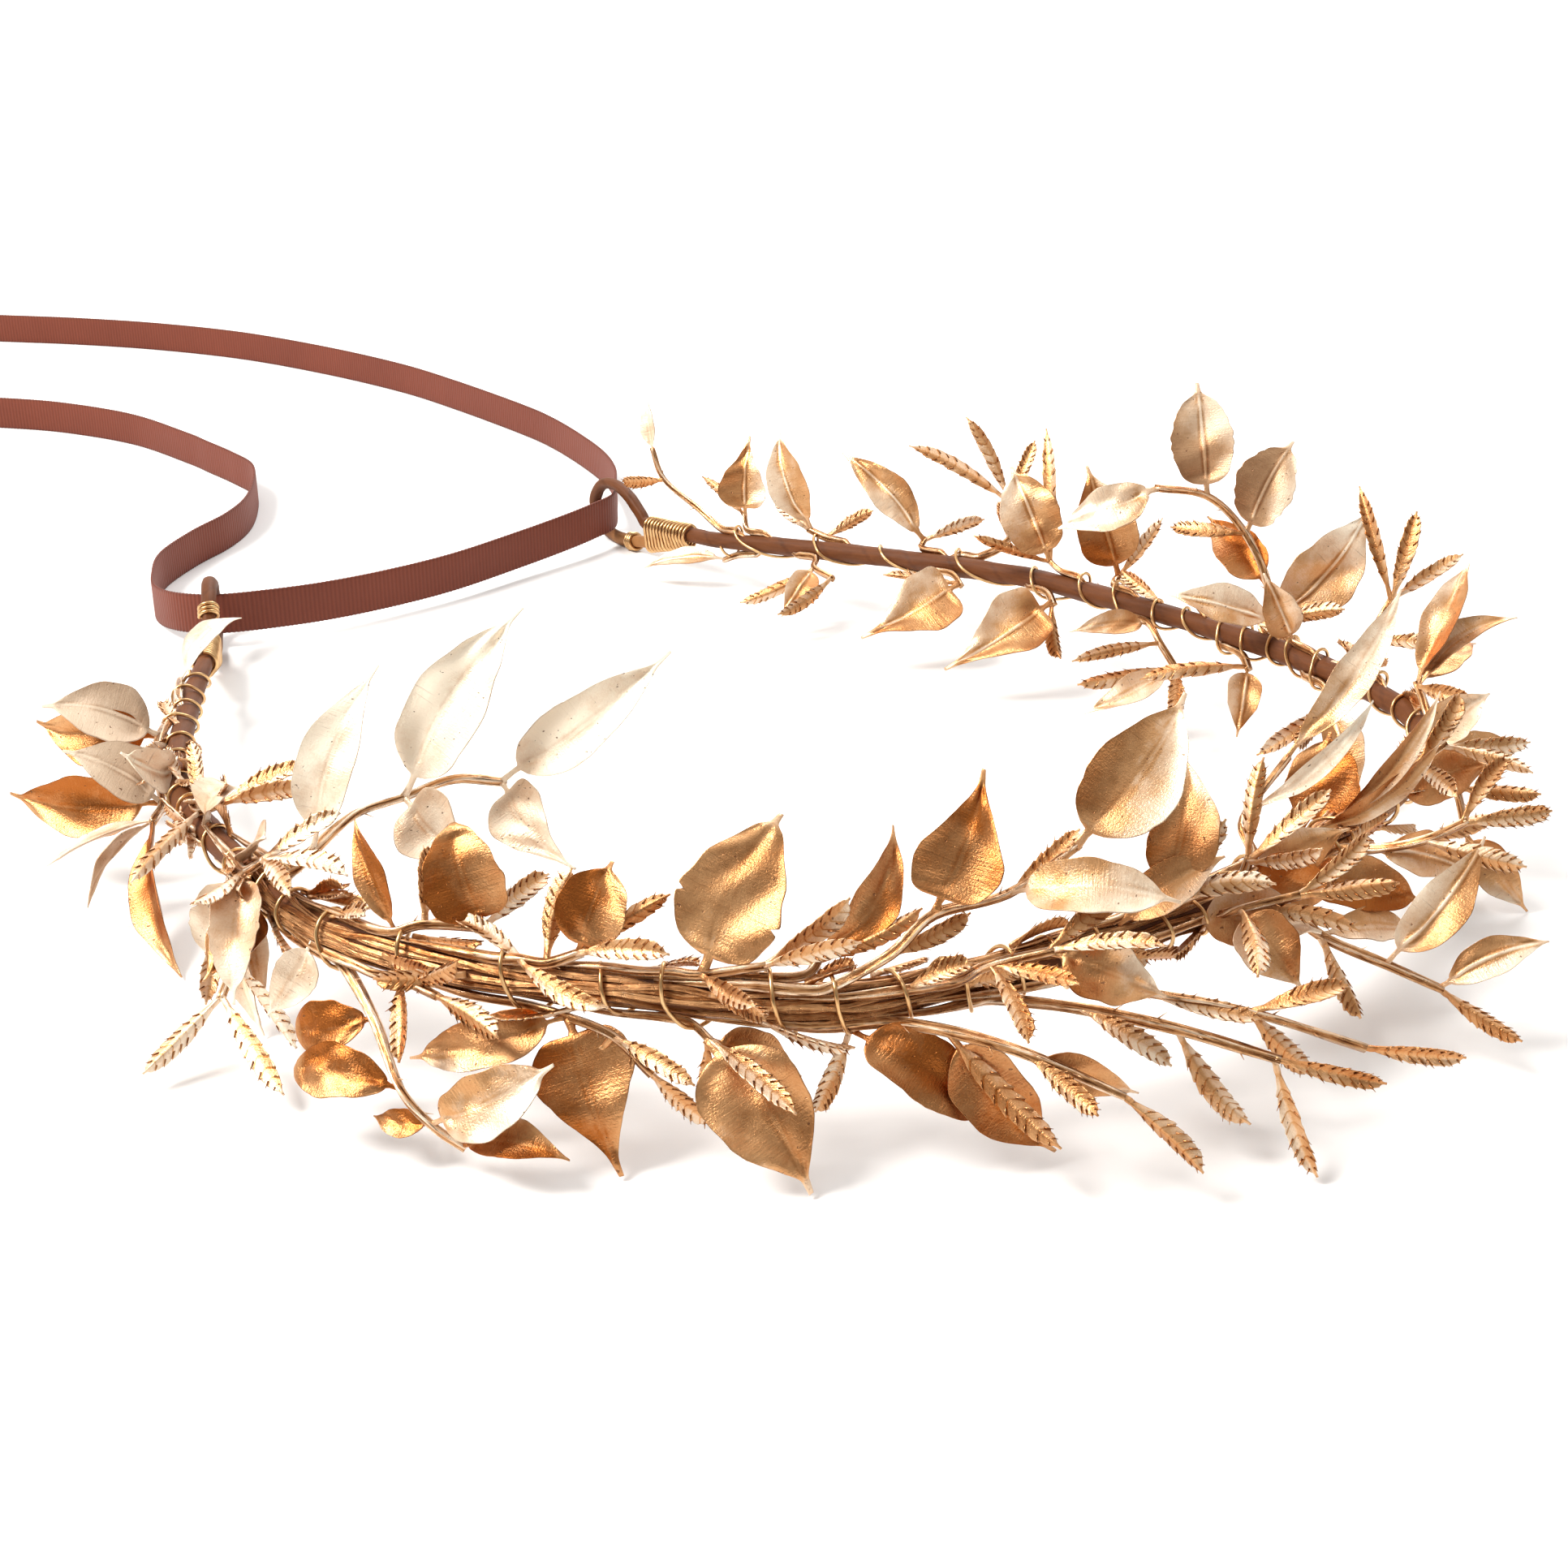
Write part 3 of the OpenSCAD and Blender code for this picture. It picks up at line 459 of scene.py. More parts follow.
# %% Ribbon piece
ACROSS = np.array([[1.0, 0.92, 0.5, 0.0, -0.5, -0.92, -1.0]])
EDGE_T = 0.7
EDGE_WAVER = 0.04
RIB_DEPTH = 0.16

ribbon_side = level_side(travel_of(ribbon_line))
rib_wave = np.cos(2 * np.pi * ribbon_run[:, None] / RIB_PITCH)
half_t = RIBBON_T / 2 * (1 - RIB_DEPTH / 2 + RIB_DEPTH / 2 * rib_wave)
face = half_t * np.where(np.abs(ACROSS) == 1, EDGE_T, 1)
height = (RIBBON_W / 2 - EDGE_WAVER * (1 - rib_wave)) * ACROSS
middle = ribbon_line[:, None] + np.array([0, 0, 1.0]) * height[..., None]
aside = ribbon_side[:, None] * face[..., None]
rings = both_faces(middle + aside, middle - aside)
place = places(ribbon_run[:, None], both_faces(ACROSS, ACROSS) * RIBBON_W / 2)
shell = Shell()
shell.add(rings, place)
ribbon = shell.piece("grosgrain_ribbon", [grosgrain.material])
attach(ribbon, "root")
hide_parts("ribbon")
print("ribbon piece:", len(ribbon.data.polygons), "faces")

# %% [markdown]
# The hoop rises from its two necks at the back to the front. Its line is one typed
# table: across, back and rise, as shares of the hoop's sizes. Two versions of it are
# kept. The coarse one is the very line that the solids follow, so that each spray
# finds its foot, and the fine one gives the taped wire its smooth curve.

# %% Hoop line
HOOP = [
    (-0.51, 0.98, 0.00), (-0.59, 0.91, 0.09), (-0.69, 0.83, 0.25), (-0.78, 0.75, 0.42),
    (-0.90, 0.64, 0.62), (-0.97, 0.54, 0.79), (-1.00, 0.40, 0.94), (-0.99, 0.30, 1.00),
    (-0.89, 0.21, 1.00), (-0.73, 0.13, 1.00), (-0.53, 0.05, 1.00), (-0.31, 0.02, 1.00),
    (-0.03, 0.00, 1.00), (0.36, 0.01, 1.00), (0.77, 0.06, 1.00), (0.96, 0.13, 1.00),
    (1.00, 0.27, 1.00), (0.98, 0.41, 0.94), (0.95, 0.56, 0.79), (0.86, 0.70, 0.58),
    (0.74, 0.85, 0.33), (0.70, 0.92, 0.18), (0.69, 1.02, 0.00),
]
COARSE = 2
FINE = 12

hoop_rows = np.array(HOOP) * [HOOP_W / 2, HOOP_L, HOOP_H - NECK_Z] + [0, 0, NECK_Z] - CENTRE
coarse_line = smooth_line(hoop_rows, COARSE)
coarse_run = run_of(coarse_line)
hoop_len = coarse_run[-1]
fine_line = smooth_line(hoop_rows, FINE)
fine_share = np.interp(
    np.arange(len(fine_line)) / FINE, np.arange(len(coarse_line)) / COARSE, coarse_run) / hoop_len


def hoop_at(share):
    """The solids' line of the hoop, at shares of its length"""
    return pick(coarse_line, coarse_run, np.asarray(share) * hoop_len)


def wire_at(share):
    """The smooth line of the taped wire, at shares of the hoop's length"""
    return pick(fine_line, fine_share, np.asarray(share))


def heading(line_at, share):
    """Which way a line runs, at shares of its length"""
    share = np.asarray(share)
    return unit(line_at(np.minimum(1, share + NEARBY)) - line_at(np.maximum(0, share - NEARBY)))


def along_at(share):
    """The direction along the hoop"""
    return heading(hoop_at, share)


def out_at(share):
    """The level direction away from the hoop's middle"""
    return level_side(along_at(share))


def up_at(share):
    """The direction above the hoop, square to the other two"""
    return np.cross(out_at(share), along_at(share))


def in_frame(share, v):
    """A direction given along, out of and above the hoop, in the crown's own directions"""
    return along_at(share) * v[0] + out_at(share) * v[1] + up_at(share) * v[2]


def smooth_frame(share):
    """Two smooth directions square to the wire: out and up"""
    along = heading(wire_at, share)
    out = level_side(along)
    return out, np.cross(out, along)


print("hoop wire:", round(float(hoop_len), 1), "mm from neck to neck")

# %% [markdown]
# The wire is wound with brown paper tape. Each turn of the tape overlaps the last by
# a thin step that spirals along it, and the paper is pulled into slight lengthwise
# folds, which catch the light as long soft ridges. Both are raised in the mesh. At
# each end the bare wire turns back in a loop and ends inside the coil at the neck.

# %% Paper tape
paper_tape = Finish("paper_tape", Specular_IOR_Level=0.22)
tape_place = paper_tape.attribute("place", "Vector")
fibre = paper_tape.noise(paper_tape.stretched(tape_place, 0.35, 26.0, 1.0), 1.0, 4.0)
patch = paper_tape.noise(paper_tape.millimetres(), 0.18, 3.0)
speck = paper_tape.noise(paper_tape.millimetres(), 2.6, 2.0)
LOOP_GILT = (0.52, 0.25, 0.09, 1)
TAPE_DARK = (0.060, 0.017, 0.004, 1)
TAPE_LIT = (0.195, 0.062, 0.018, 1)
step_shade = paper_tape.attribute("tone")
# Painted shade: the rise of each overlap step is painted darker. Fibres, patches and specks are the paper's
# own.
tape_and_step_shade = (fibre * 0.6 + patch * 0.6 + speck * 0.15 - 0.18 - step_shade * 0.16).clamped()
gilt = (paper_tape.attribute("dull") * (patch * 1.6 - 0.1)).clamped()
tape = paper_tape.mix(tape_and_step_shade, TAPE_DARK, TAPE_LIT)
paper_tape.paint(
    Base_Color=paper_tape.mix(gilt, tape, LOOP_GILT),
    Metallic=gilt * 0.8,
    Roughness=0.42 + patch * 0.3,
    Normal=paper_tape.bump(fibre * 0.6 + speck * 0.4, 0.12, 0.5))
print("paper tape: brown, satin, with fibres along the wire")

# %% Taped wire with its end loops
LOOP = [
    (0.15, 0.30), (0.35, 0.78), (0.60, 1.00), (0.85, 0.80), (1.00, 0.00), (0.85, -0.80), (0.60, -1.00),
    (0.35, -0.92), (0.15, -0.76), (0.00, -TAIL_DROP), (-0.20, -0.55), (-0.40, -0.42),
]
CORE_SIDES = 28
CORE_STEPS = 6
CORE_STATION = 0.45
TAIL_RADII = (0.70, 0.85, 1.0)
TAPE_FULL = 0.02
TAPE_PITCH = 8.5
TAPE_STEP = 0.07
STEP_WIDE = 0.12  # share of a turn over which the step rises
# share of a turn, on the rise of the step, that is painted darker as the step's shade
STEP_SHADE = 0.10
FOLD_DEPTH = 0.10
FOLD_WIDE = 0.045
FOLD_TURN = 90  # millimetres in which the folds go round the wire once
FOLDS = [(0.10, 1.0), (0.32, 0.7), (0.55, 1.2), (0.80, 0.8)]  # (share of a turn, speed)
LUMPS = [(5.3, 0, 0.03), (2.1, 1, 0.02)]  # (length, phase, height)
GILT_FADE = (14, 22)


def loop_rows(share, way):
    """The points of one end loop, from its neck outwards; way is 1 past the end, -1 before the start"""
    neck = hoop_at(share)
    flat = unit(along_at(share) * [1, 1, 0]) * way
    rows = []
    for out, rise in LOOP:
        if out < 0:
            beside = share + way * out * LOOP_L / hoop_len
            rows.append(hoop_at(beside) + up_at(beside) * rise * LOOP_H / 2)
        else:
            rows.append(neck + flat * out * LOOP_L + np.array([0, 0, rise * LOOP_H / 2]))
    return rows


left_rows = loop_rows(0, -1)[::-1]
right_rows = loop_rows(1, 1)
core_rows = left_rows + list(coarse_line) + right_rows
core_line = smooth_line(core_rows, CORE_STEPS)
core_run = run_of(core_line)
row_run = core_run[::CORE_STEPS]
inside = len(coarse_line) - 1
growth = [min(i, inside - i) / TAPER_POINTS for i in range(inside + 1)]
row_radius = [0] * len(left_rows) + growth + [0] * len(right_rows)
row_radius = (LOOP_D + np.minimum(1, row_radius) * (CORE_D - LOOP_D)) / 2
row_side = np.concatenate([
    np.repeat(out_at(0)[None], len(left_rows), axis=0),
    out_at(coarse_run / hoop_len),
    np.repeat(out_at(1)[None], len(right_rows), axis=0)])
row_radius[:3] = row_radius[-3:][::-1] = np.array(TAIL_RADII)
station = np.linspace(0, core_run[-1], int(core_run[-1] / CORE_STATION))
angle = np.arange(CORE_SIDES) / CORE_SIDES
turn = (station[:, None] / TAPE_PITCH - angle) % 1
overlap = np.where(turn < STEP_WIDE, turn / STEP_WIDE, 1 - (turn - STEP_WIDE) / (1 - STEP_WIDE))
drift = station[:, None] / FOLD_TURN
turned = [(angle + drift * speed + phase) % 1 for phase, speed in FOLDS]
folds = sum(np.exp(-(np.minimum(t, 1 - t) / FOLD_WIDE) ** 2) for t in turned) * 1.2 - 0.5
lumps = sum(np.sin(station / length + phase) * high for length, phase, high in LUMPS)
radius = np.interp(station, row_run, row_radius)[:, None] + TAPE_FULL
radius = radius - TAPE_STEP + TAPE_STEP * overlap + FOLD_DEPTH * folds + lumps[:, None]
gilded_end = 1 - ease(np.minimum(station, core_run[-1] - station), *GILT_FADE)
shell = Shell()
shell.add(
    tube(pick(core_line, core_run, station), pick(row_side, row_run, station), radius, CORE_SIDES),
    ring_places(station, CORE_SIDES), tone=(turn < STEP_SHADE) * 1.0, dull=gilded_end[:, None])
taped_wire = shell.piece("taped_wire", [paper_tape.material])
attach(taped_wire, "root")
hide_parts("band_core")
print("taped wire:", round(core_run[-1]), "mm of tube,", len(taped_wire.data.polygons), "faces")

# %% [markdown]
# Three metals cover the rest. Leaves and sprigs are painted with a satin gold that is pale where it is thin
# and sinks to a deep orange where it pools, and a veined back is duller and greyer. Painted shade and
# highlight lie in that gold as well: a leaf is deeper towards one side and, partly, towards its stalk, deeper
# beside its rib and paler along it, and a sprig has dark lines beside its needles. Stems carry the same paint
# over bark, and the grooves along them are painted dark, as the shade that lies in them. The binding wire is
# bright brass.

# %% Gilded leaf
PALE_GOLD = (1.0, 0.88, 0.70, 1)
WARM_GOLD = (0.66, 0.35, 0.152, 1)
DEEP_GOLD = (0.38, 0.115, 0.024, 1)
DULL_PALE = (0.68, 0.53, 0.38, 1)
DULL_DARK = (0.30, 0.19, 0.12, 1)
RIM_BROWN = (0.17, 0.07, 0.025, 1)

gilded_leaf = Finish("gilded_leaf", Specular_IOR_Level=0.5)
spot = gilded_leaf.millimetres()
leaf_place = gilded_leaf.attribute("place", "Vector")
across = gilded_leaf.node("ShaderNodeSeparateXYZ", {}, {0: leaf_place}, "Y")
cloud = gilded_leaf.noise(spot, 0.16, 3.0)
stain = gilded_leaf.noise(spot, 0.55, 5.0, 0.65)
grain = gilded_leaf.noise(spot, 4.2, 3.0, 0.65)
stria = gilded_leaf.noise(gilded_leaf.stretched(leaf_place, 4.5, 0.8, 1.0), 1.0, 2.0)
pit = gilded_leaf.noise(spot, 1.9, 1.0).step(0.72, 0.78)
rim = across.size().step(0.94, 1.0)
dull = gilded_leaf.attribute("dull")
# The tone read here carries painted shade and highlight as well as the paint's own depth.
depth = gilded_leaf.attribute("tone") + cloud.around(0.75)
depth = (depth + stain.around(0.35) + grain.around(0.2)).clamped()
back = gilded_leaf.mix(depth, DULL_PALE, DULL_DARK)
gold = gilded_leaf.mix(dull * 0.9, gilded_leaf.gold(depth, DEEP_GOLD), back)
gold = gilded_leaf.mix((rim * 0.4 + pit * 0.8 + stria.step(0.36, 0.22) * 0.35).clamped(), gold, RIM_BROWN)
gilded_leaf.paint(
    Base_Color=gold,
    Metallic=(0.08 + depth * 1.3 - dull * 0.5 - pit * 0.5).clamped(),
    Roughness=0.34 + grain.around(0.3) + dull * 0.16,
    Normal=gilded_leaf.bump(grain * 0.6 + stria * 0.4 - pit * 0.8, 0.16, 0.7))
print("gilded leaf: three golds, a dull back, pits and a dark rim")

# %% Gilded bark
BARK_DEEP = (0.235, 0.082, 0.024, 1)
GROOVE_SHADE_BROWN = (0.070, 0.022, 0.008, 1)
gilded_bark = Finish("gilded_bark", Specular_IOR_Level=0.5)
spot = gilded_bark.millimetres()
bark_place = gilded_bark.attribute("place", "Vector")
groove = gilded_bark.noise(gilded_bark.stretched(bark_place, 0.35, 14.0, 1.0), 1.0, 4.0, 0.6)
crust = gilded_bark.noise(spot, 1.4, 3.0, 0.5)
cloud = gilded_bark.noise(spot, 0.22, 2.0)
# Painted shade: where the bump sinks into a groove, the gold is painted deeper and then brown.
depth = gilded_bark.attribute("tone") - groove.around(0.9)
depth = (depth + crust.around(0.3) + cloud.around(0.7)).clamped()
gold = gilded_bark.gold(depth, BARK_DEEP)
gold = gilded_bark.mix((groove.step(0.50, 0.36) * 0.85).clamped(), gold, GROOVE_SHADE_BROWN)
gilded_bark.paint(
    Base_Color=gold,
    Metallic=(0.45 + depth * 0.6).clamped(),
    Roughness=0.31 + crust.around(0.3),
    Normal=gilded_bark.bump(groove * 0.8 + crust * 0.2, 0.17, 0.7))
print("gilded bark: grooved along the stem")

# %% Brass wire
brass_wire = Finish("brass_wire", Metallic=1.0, Specular_IOR_Level=0.5)
smear = brass_wire.noise(brass_wire.millimetres(), 0.7, 3.0)
WIRE_LIT = (0.90, 0.62, 0.31, 1)
WIRE_DARK = (0.46, 0.22, 0.08, 1)
brass_wire.paint(
    Base_Color=brass_wire.mix((smear * 1.4 - 0.25).clamped(), WIRE_DARK, WIRE_LIT),
    Roughness=0.22 + smear * 0.18,
    Normal=brass_wire.bump(smear, 0.05, 0.3))
print("brass wire: bright and a little tarnished")

# %% [markdown]
# Wires, strands and needles repeat or follow a path, so Geometry Nodes make them. The
# script lays out a guide: points on a line, or a cloud of points, each with its
# directions stored as attributes. A tree of nodes then sweeps a round section along
# the line or sets a needle on every point. The result becomes a plain mesh, because a
# finished piece shouldn't depend on a live modifier.

# %% Growing a piece from a guide
class Tree(Nodes):
    """A Geometry Nodes tree with named inputs for its sizes"""

    def __init__(self, name, sizes):
        super().__init__(bpy.data.node_groups.new(name, "GeometryNodeTree"))
        face = self.tree.interface
        face.new_socket("Geometry", in_out="INPUT", socket_type="NodeSocketGeometry")
        for title, kind in sizes.items():
            face.new_socket(title, in_out="INPUT", socket_type=kind)
        face.new_socket("Material", in_out="INPUT", socket_type="NodeSocketMaterial")
        face.new_socket("Geometry", in_out="OUTPUT", socket_type="NodeSocketGeometry")
        self.group = self.tree.nodes.new("NodeGroupInput")

    def given(self, title):
        """One of the tree's own inputs"""
        return Value(self, self.group.outputs[title])

    def named(self, title, kind="FLOAT_VECTOR"):
        """What the geometry stores under a name"""
        return self.node("GeometryNodeInputNamedAttribute", {"data_type": kind}, {"Name": title})

    def stored(self, geometry, title, value, kind="FLOAT", domain="POINT"):
        """The geometry with a value stored on it under a name"""
        return self.node(
            "GeometryNodeStoreNamedAttribute", {"data_type": kind, "domain": domain},
            {"Geometry": geometry, "Name": title, "Value": value})

    def vector(self, operation, a, b=None, scale=None):
        """One Vector Math node on one or two vectors, or on a vector and a scale"""
        sockets = {0: a}
        if b is not None:
            sockets[1] = b
        if scale is not None:
            sockets["Scale"] = scale
        return self.node("ShaderNodeVectorMath", {"operation": operation}, sockets)

    def finished(self, geometry):
        """Ends the tree: real geometry, smooth, with its material"""
        real = self.node("GeometryNodeRealizeInstances", {}, {"Geometry": geometry})
        smooth = self.node("GeometryNodeSetShadeSmooth", {}, {"Geometry": real})
        painted = self.node(
            "GeometryNodeSetMaterial", {}, {"Geometry": smooth, "Material": self.given("Material")})
        end = self.tree.nodes.new("NodeGroupOutput")
        self.tree.links.new(painted.socket, end.inputs[0])
        return self.tree


def grow(name, tree, points, joined, attributes, inputs):
    """Runs a tree on a guide of points, given in millimetres, and gives the plain piece"""
    guide_mesh = bpy.data.meshes.new(name + "_guide")
    edges = [(i, i + 1) for i in range(len(points) - 1) if joined[i]] if joined is not None else []
    guide_mesh.from_pydata((np.asarray(points) * MM).tolist(), edges, [])
    for title, values in attributes.items():
        values = np.asarray(values, float)
        kind = "FLOAT_VECTOR" if values.ndim == 2 else "FLOAT"
        made = guide_mesh.attributes.new(title, kind, "POINT")
        made.data.foreach_set("vector" if values.ndim == 2 else "value", values.reshape(-1))
    guide = put(name + "_guide", guide_mesh)
    modifier = guide.modifiers.new("grow", "NODES")
    modifier.node_group = tree
    for item in tree.interface.items_tree:
        if item.in_out == "INPUT" and item.name in inputs:
            modifier[item.identifier] = inputs[item.name]
    graph = bpy.context.evaluated_depsgraph_get()
    mesh = bpy.data.meshes.new_from_object(
        guide.evaluated_get(graph), preserve_all_data_layers=True, depsgraph=graph)
    guide.modifiers.remove(modifier)
    bpy.data.objects.remove(guide)
    mesh.name = name
    return put(name, mesh)


print("guides can be grown into plain pieces")

# %% [markdown]
# One tree winds every wire on the crown. Each guide point lies on the middle line of
# what the wire goes around, and carries the spoke from there to the wire's own centre.
# The tree moves the points out, makes them a curve and sweeps a round section.

# %% Winding tree
def winding_tree():
    """Moves guide points out by their spokes and sweeps a round wire through them"""
    tree = Tree("wind_wire", {"Wire Radius": "NodeSocketFloat", "Wire Sides": "NodeSocketInt"})
    moved = tree.node(
        "GeometryNodeSetPosition", {},
        {"Geometry": tree.given("Geometry"), "Offset": tree.named("spoke")})
    curve = tree.node("GeometryNodeMeshToCurve", {}, {"Mesh": moved})
    section = tree.node(
        "GeometryNodeCurvePrimitiveCircle", {},
        {"Resolution": tree.given("Wire Sides"), "Radius": tree.given("Wire Radius")})
    swept = tree.node(
        "GeometryNodeCurveToMesh", {},
        {"Curve": curve, "Profile Curve": section, "Fill Caps": True})
    return tree.finished(swept)


wind_wire = winding_tree()
WIRE_R = 0.24
TURN_POINTS = 30
# (share along the hoop, millimetres to a turn)
TURNS = [
    (0.036, 8.0), (0.10, 9.0), (0.145, 8.0), (0.26, 8.0), (0.35, 9.0), (0.45, 7.0), (0.60, 8.0),
    (0.68, 4.5), (0.74, 6.0), (0.78, 10.0), (0.83, 12.0), (0.90, 13.0), (0.94, 12.0), (0.95, 1.2),
]
print("wire", 2 * WIRE_R, "mm thick, with", TURN_POINTS, "guide points a turn")

# %% [markdown]
# The sprays are the crown's plan: where each is tied, how its stem runs, and every
# leaf and sprig on it. The first numbers of each row are the solids' own. The last
# five of a leaf say how it looks: its outline, how deep its gold is from 0 to 1, how
# far its veined back shows, how its midrib curls to one side and how deep its cup is.

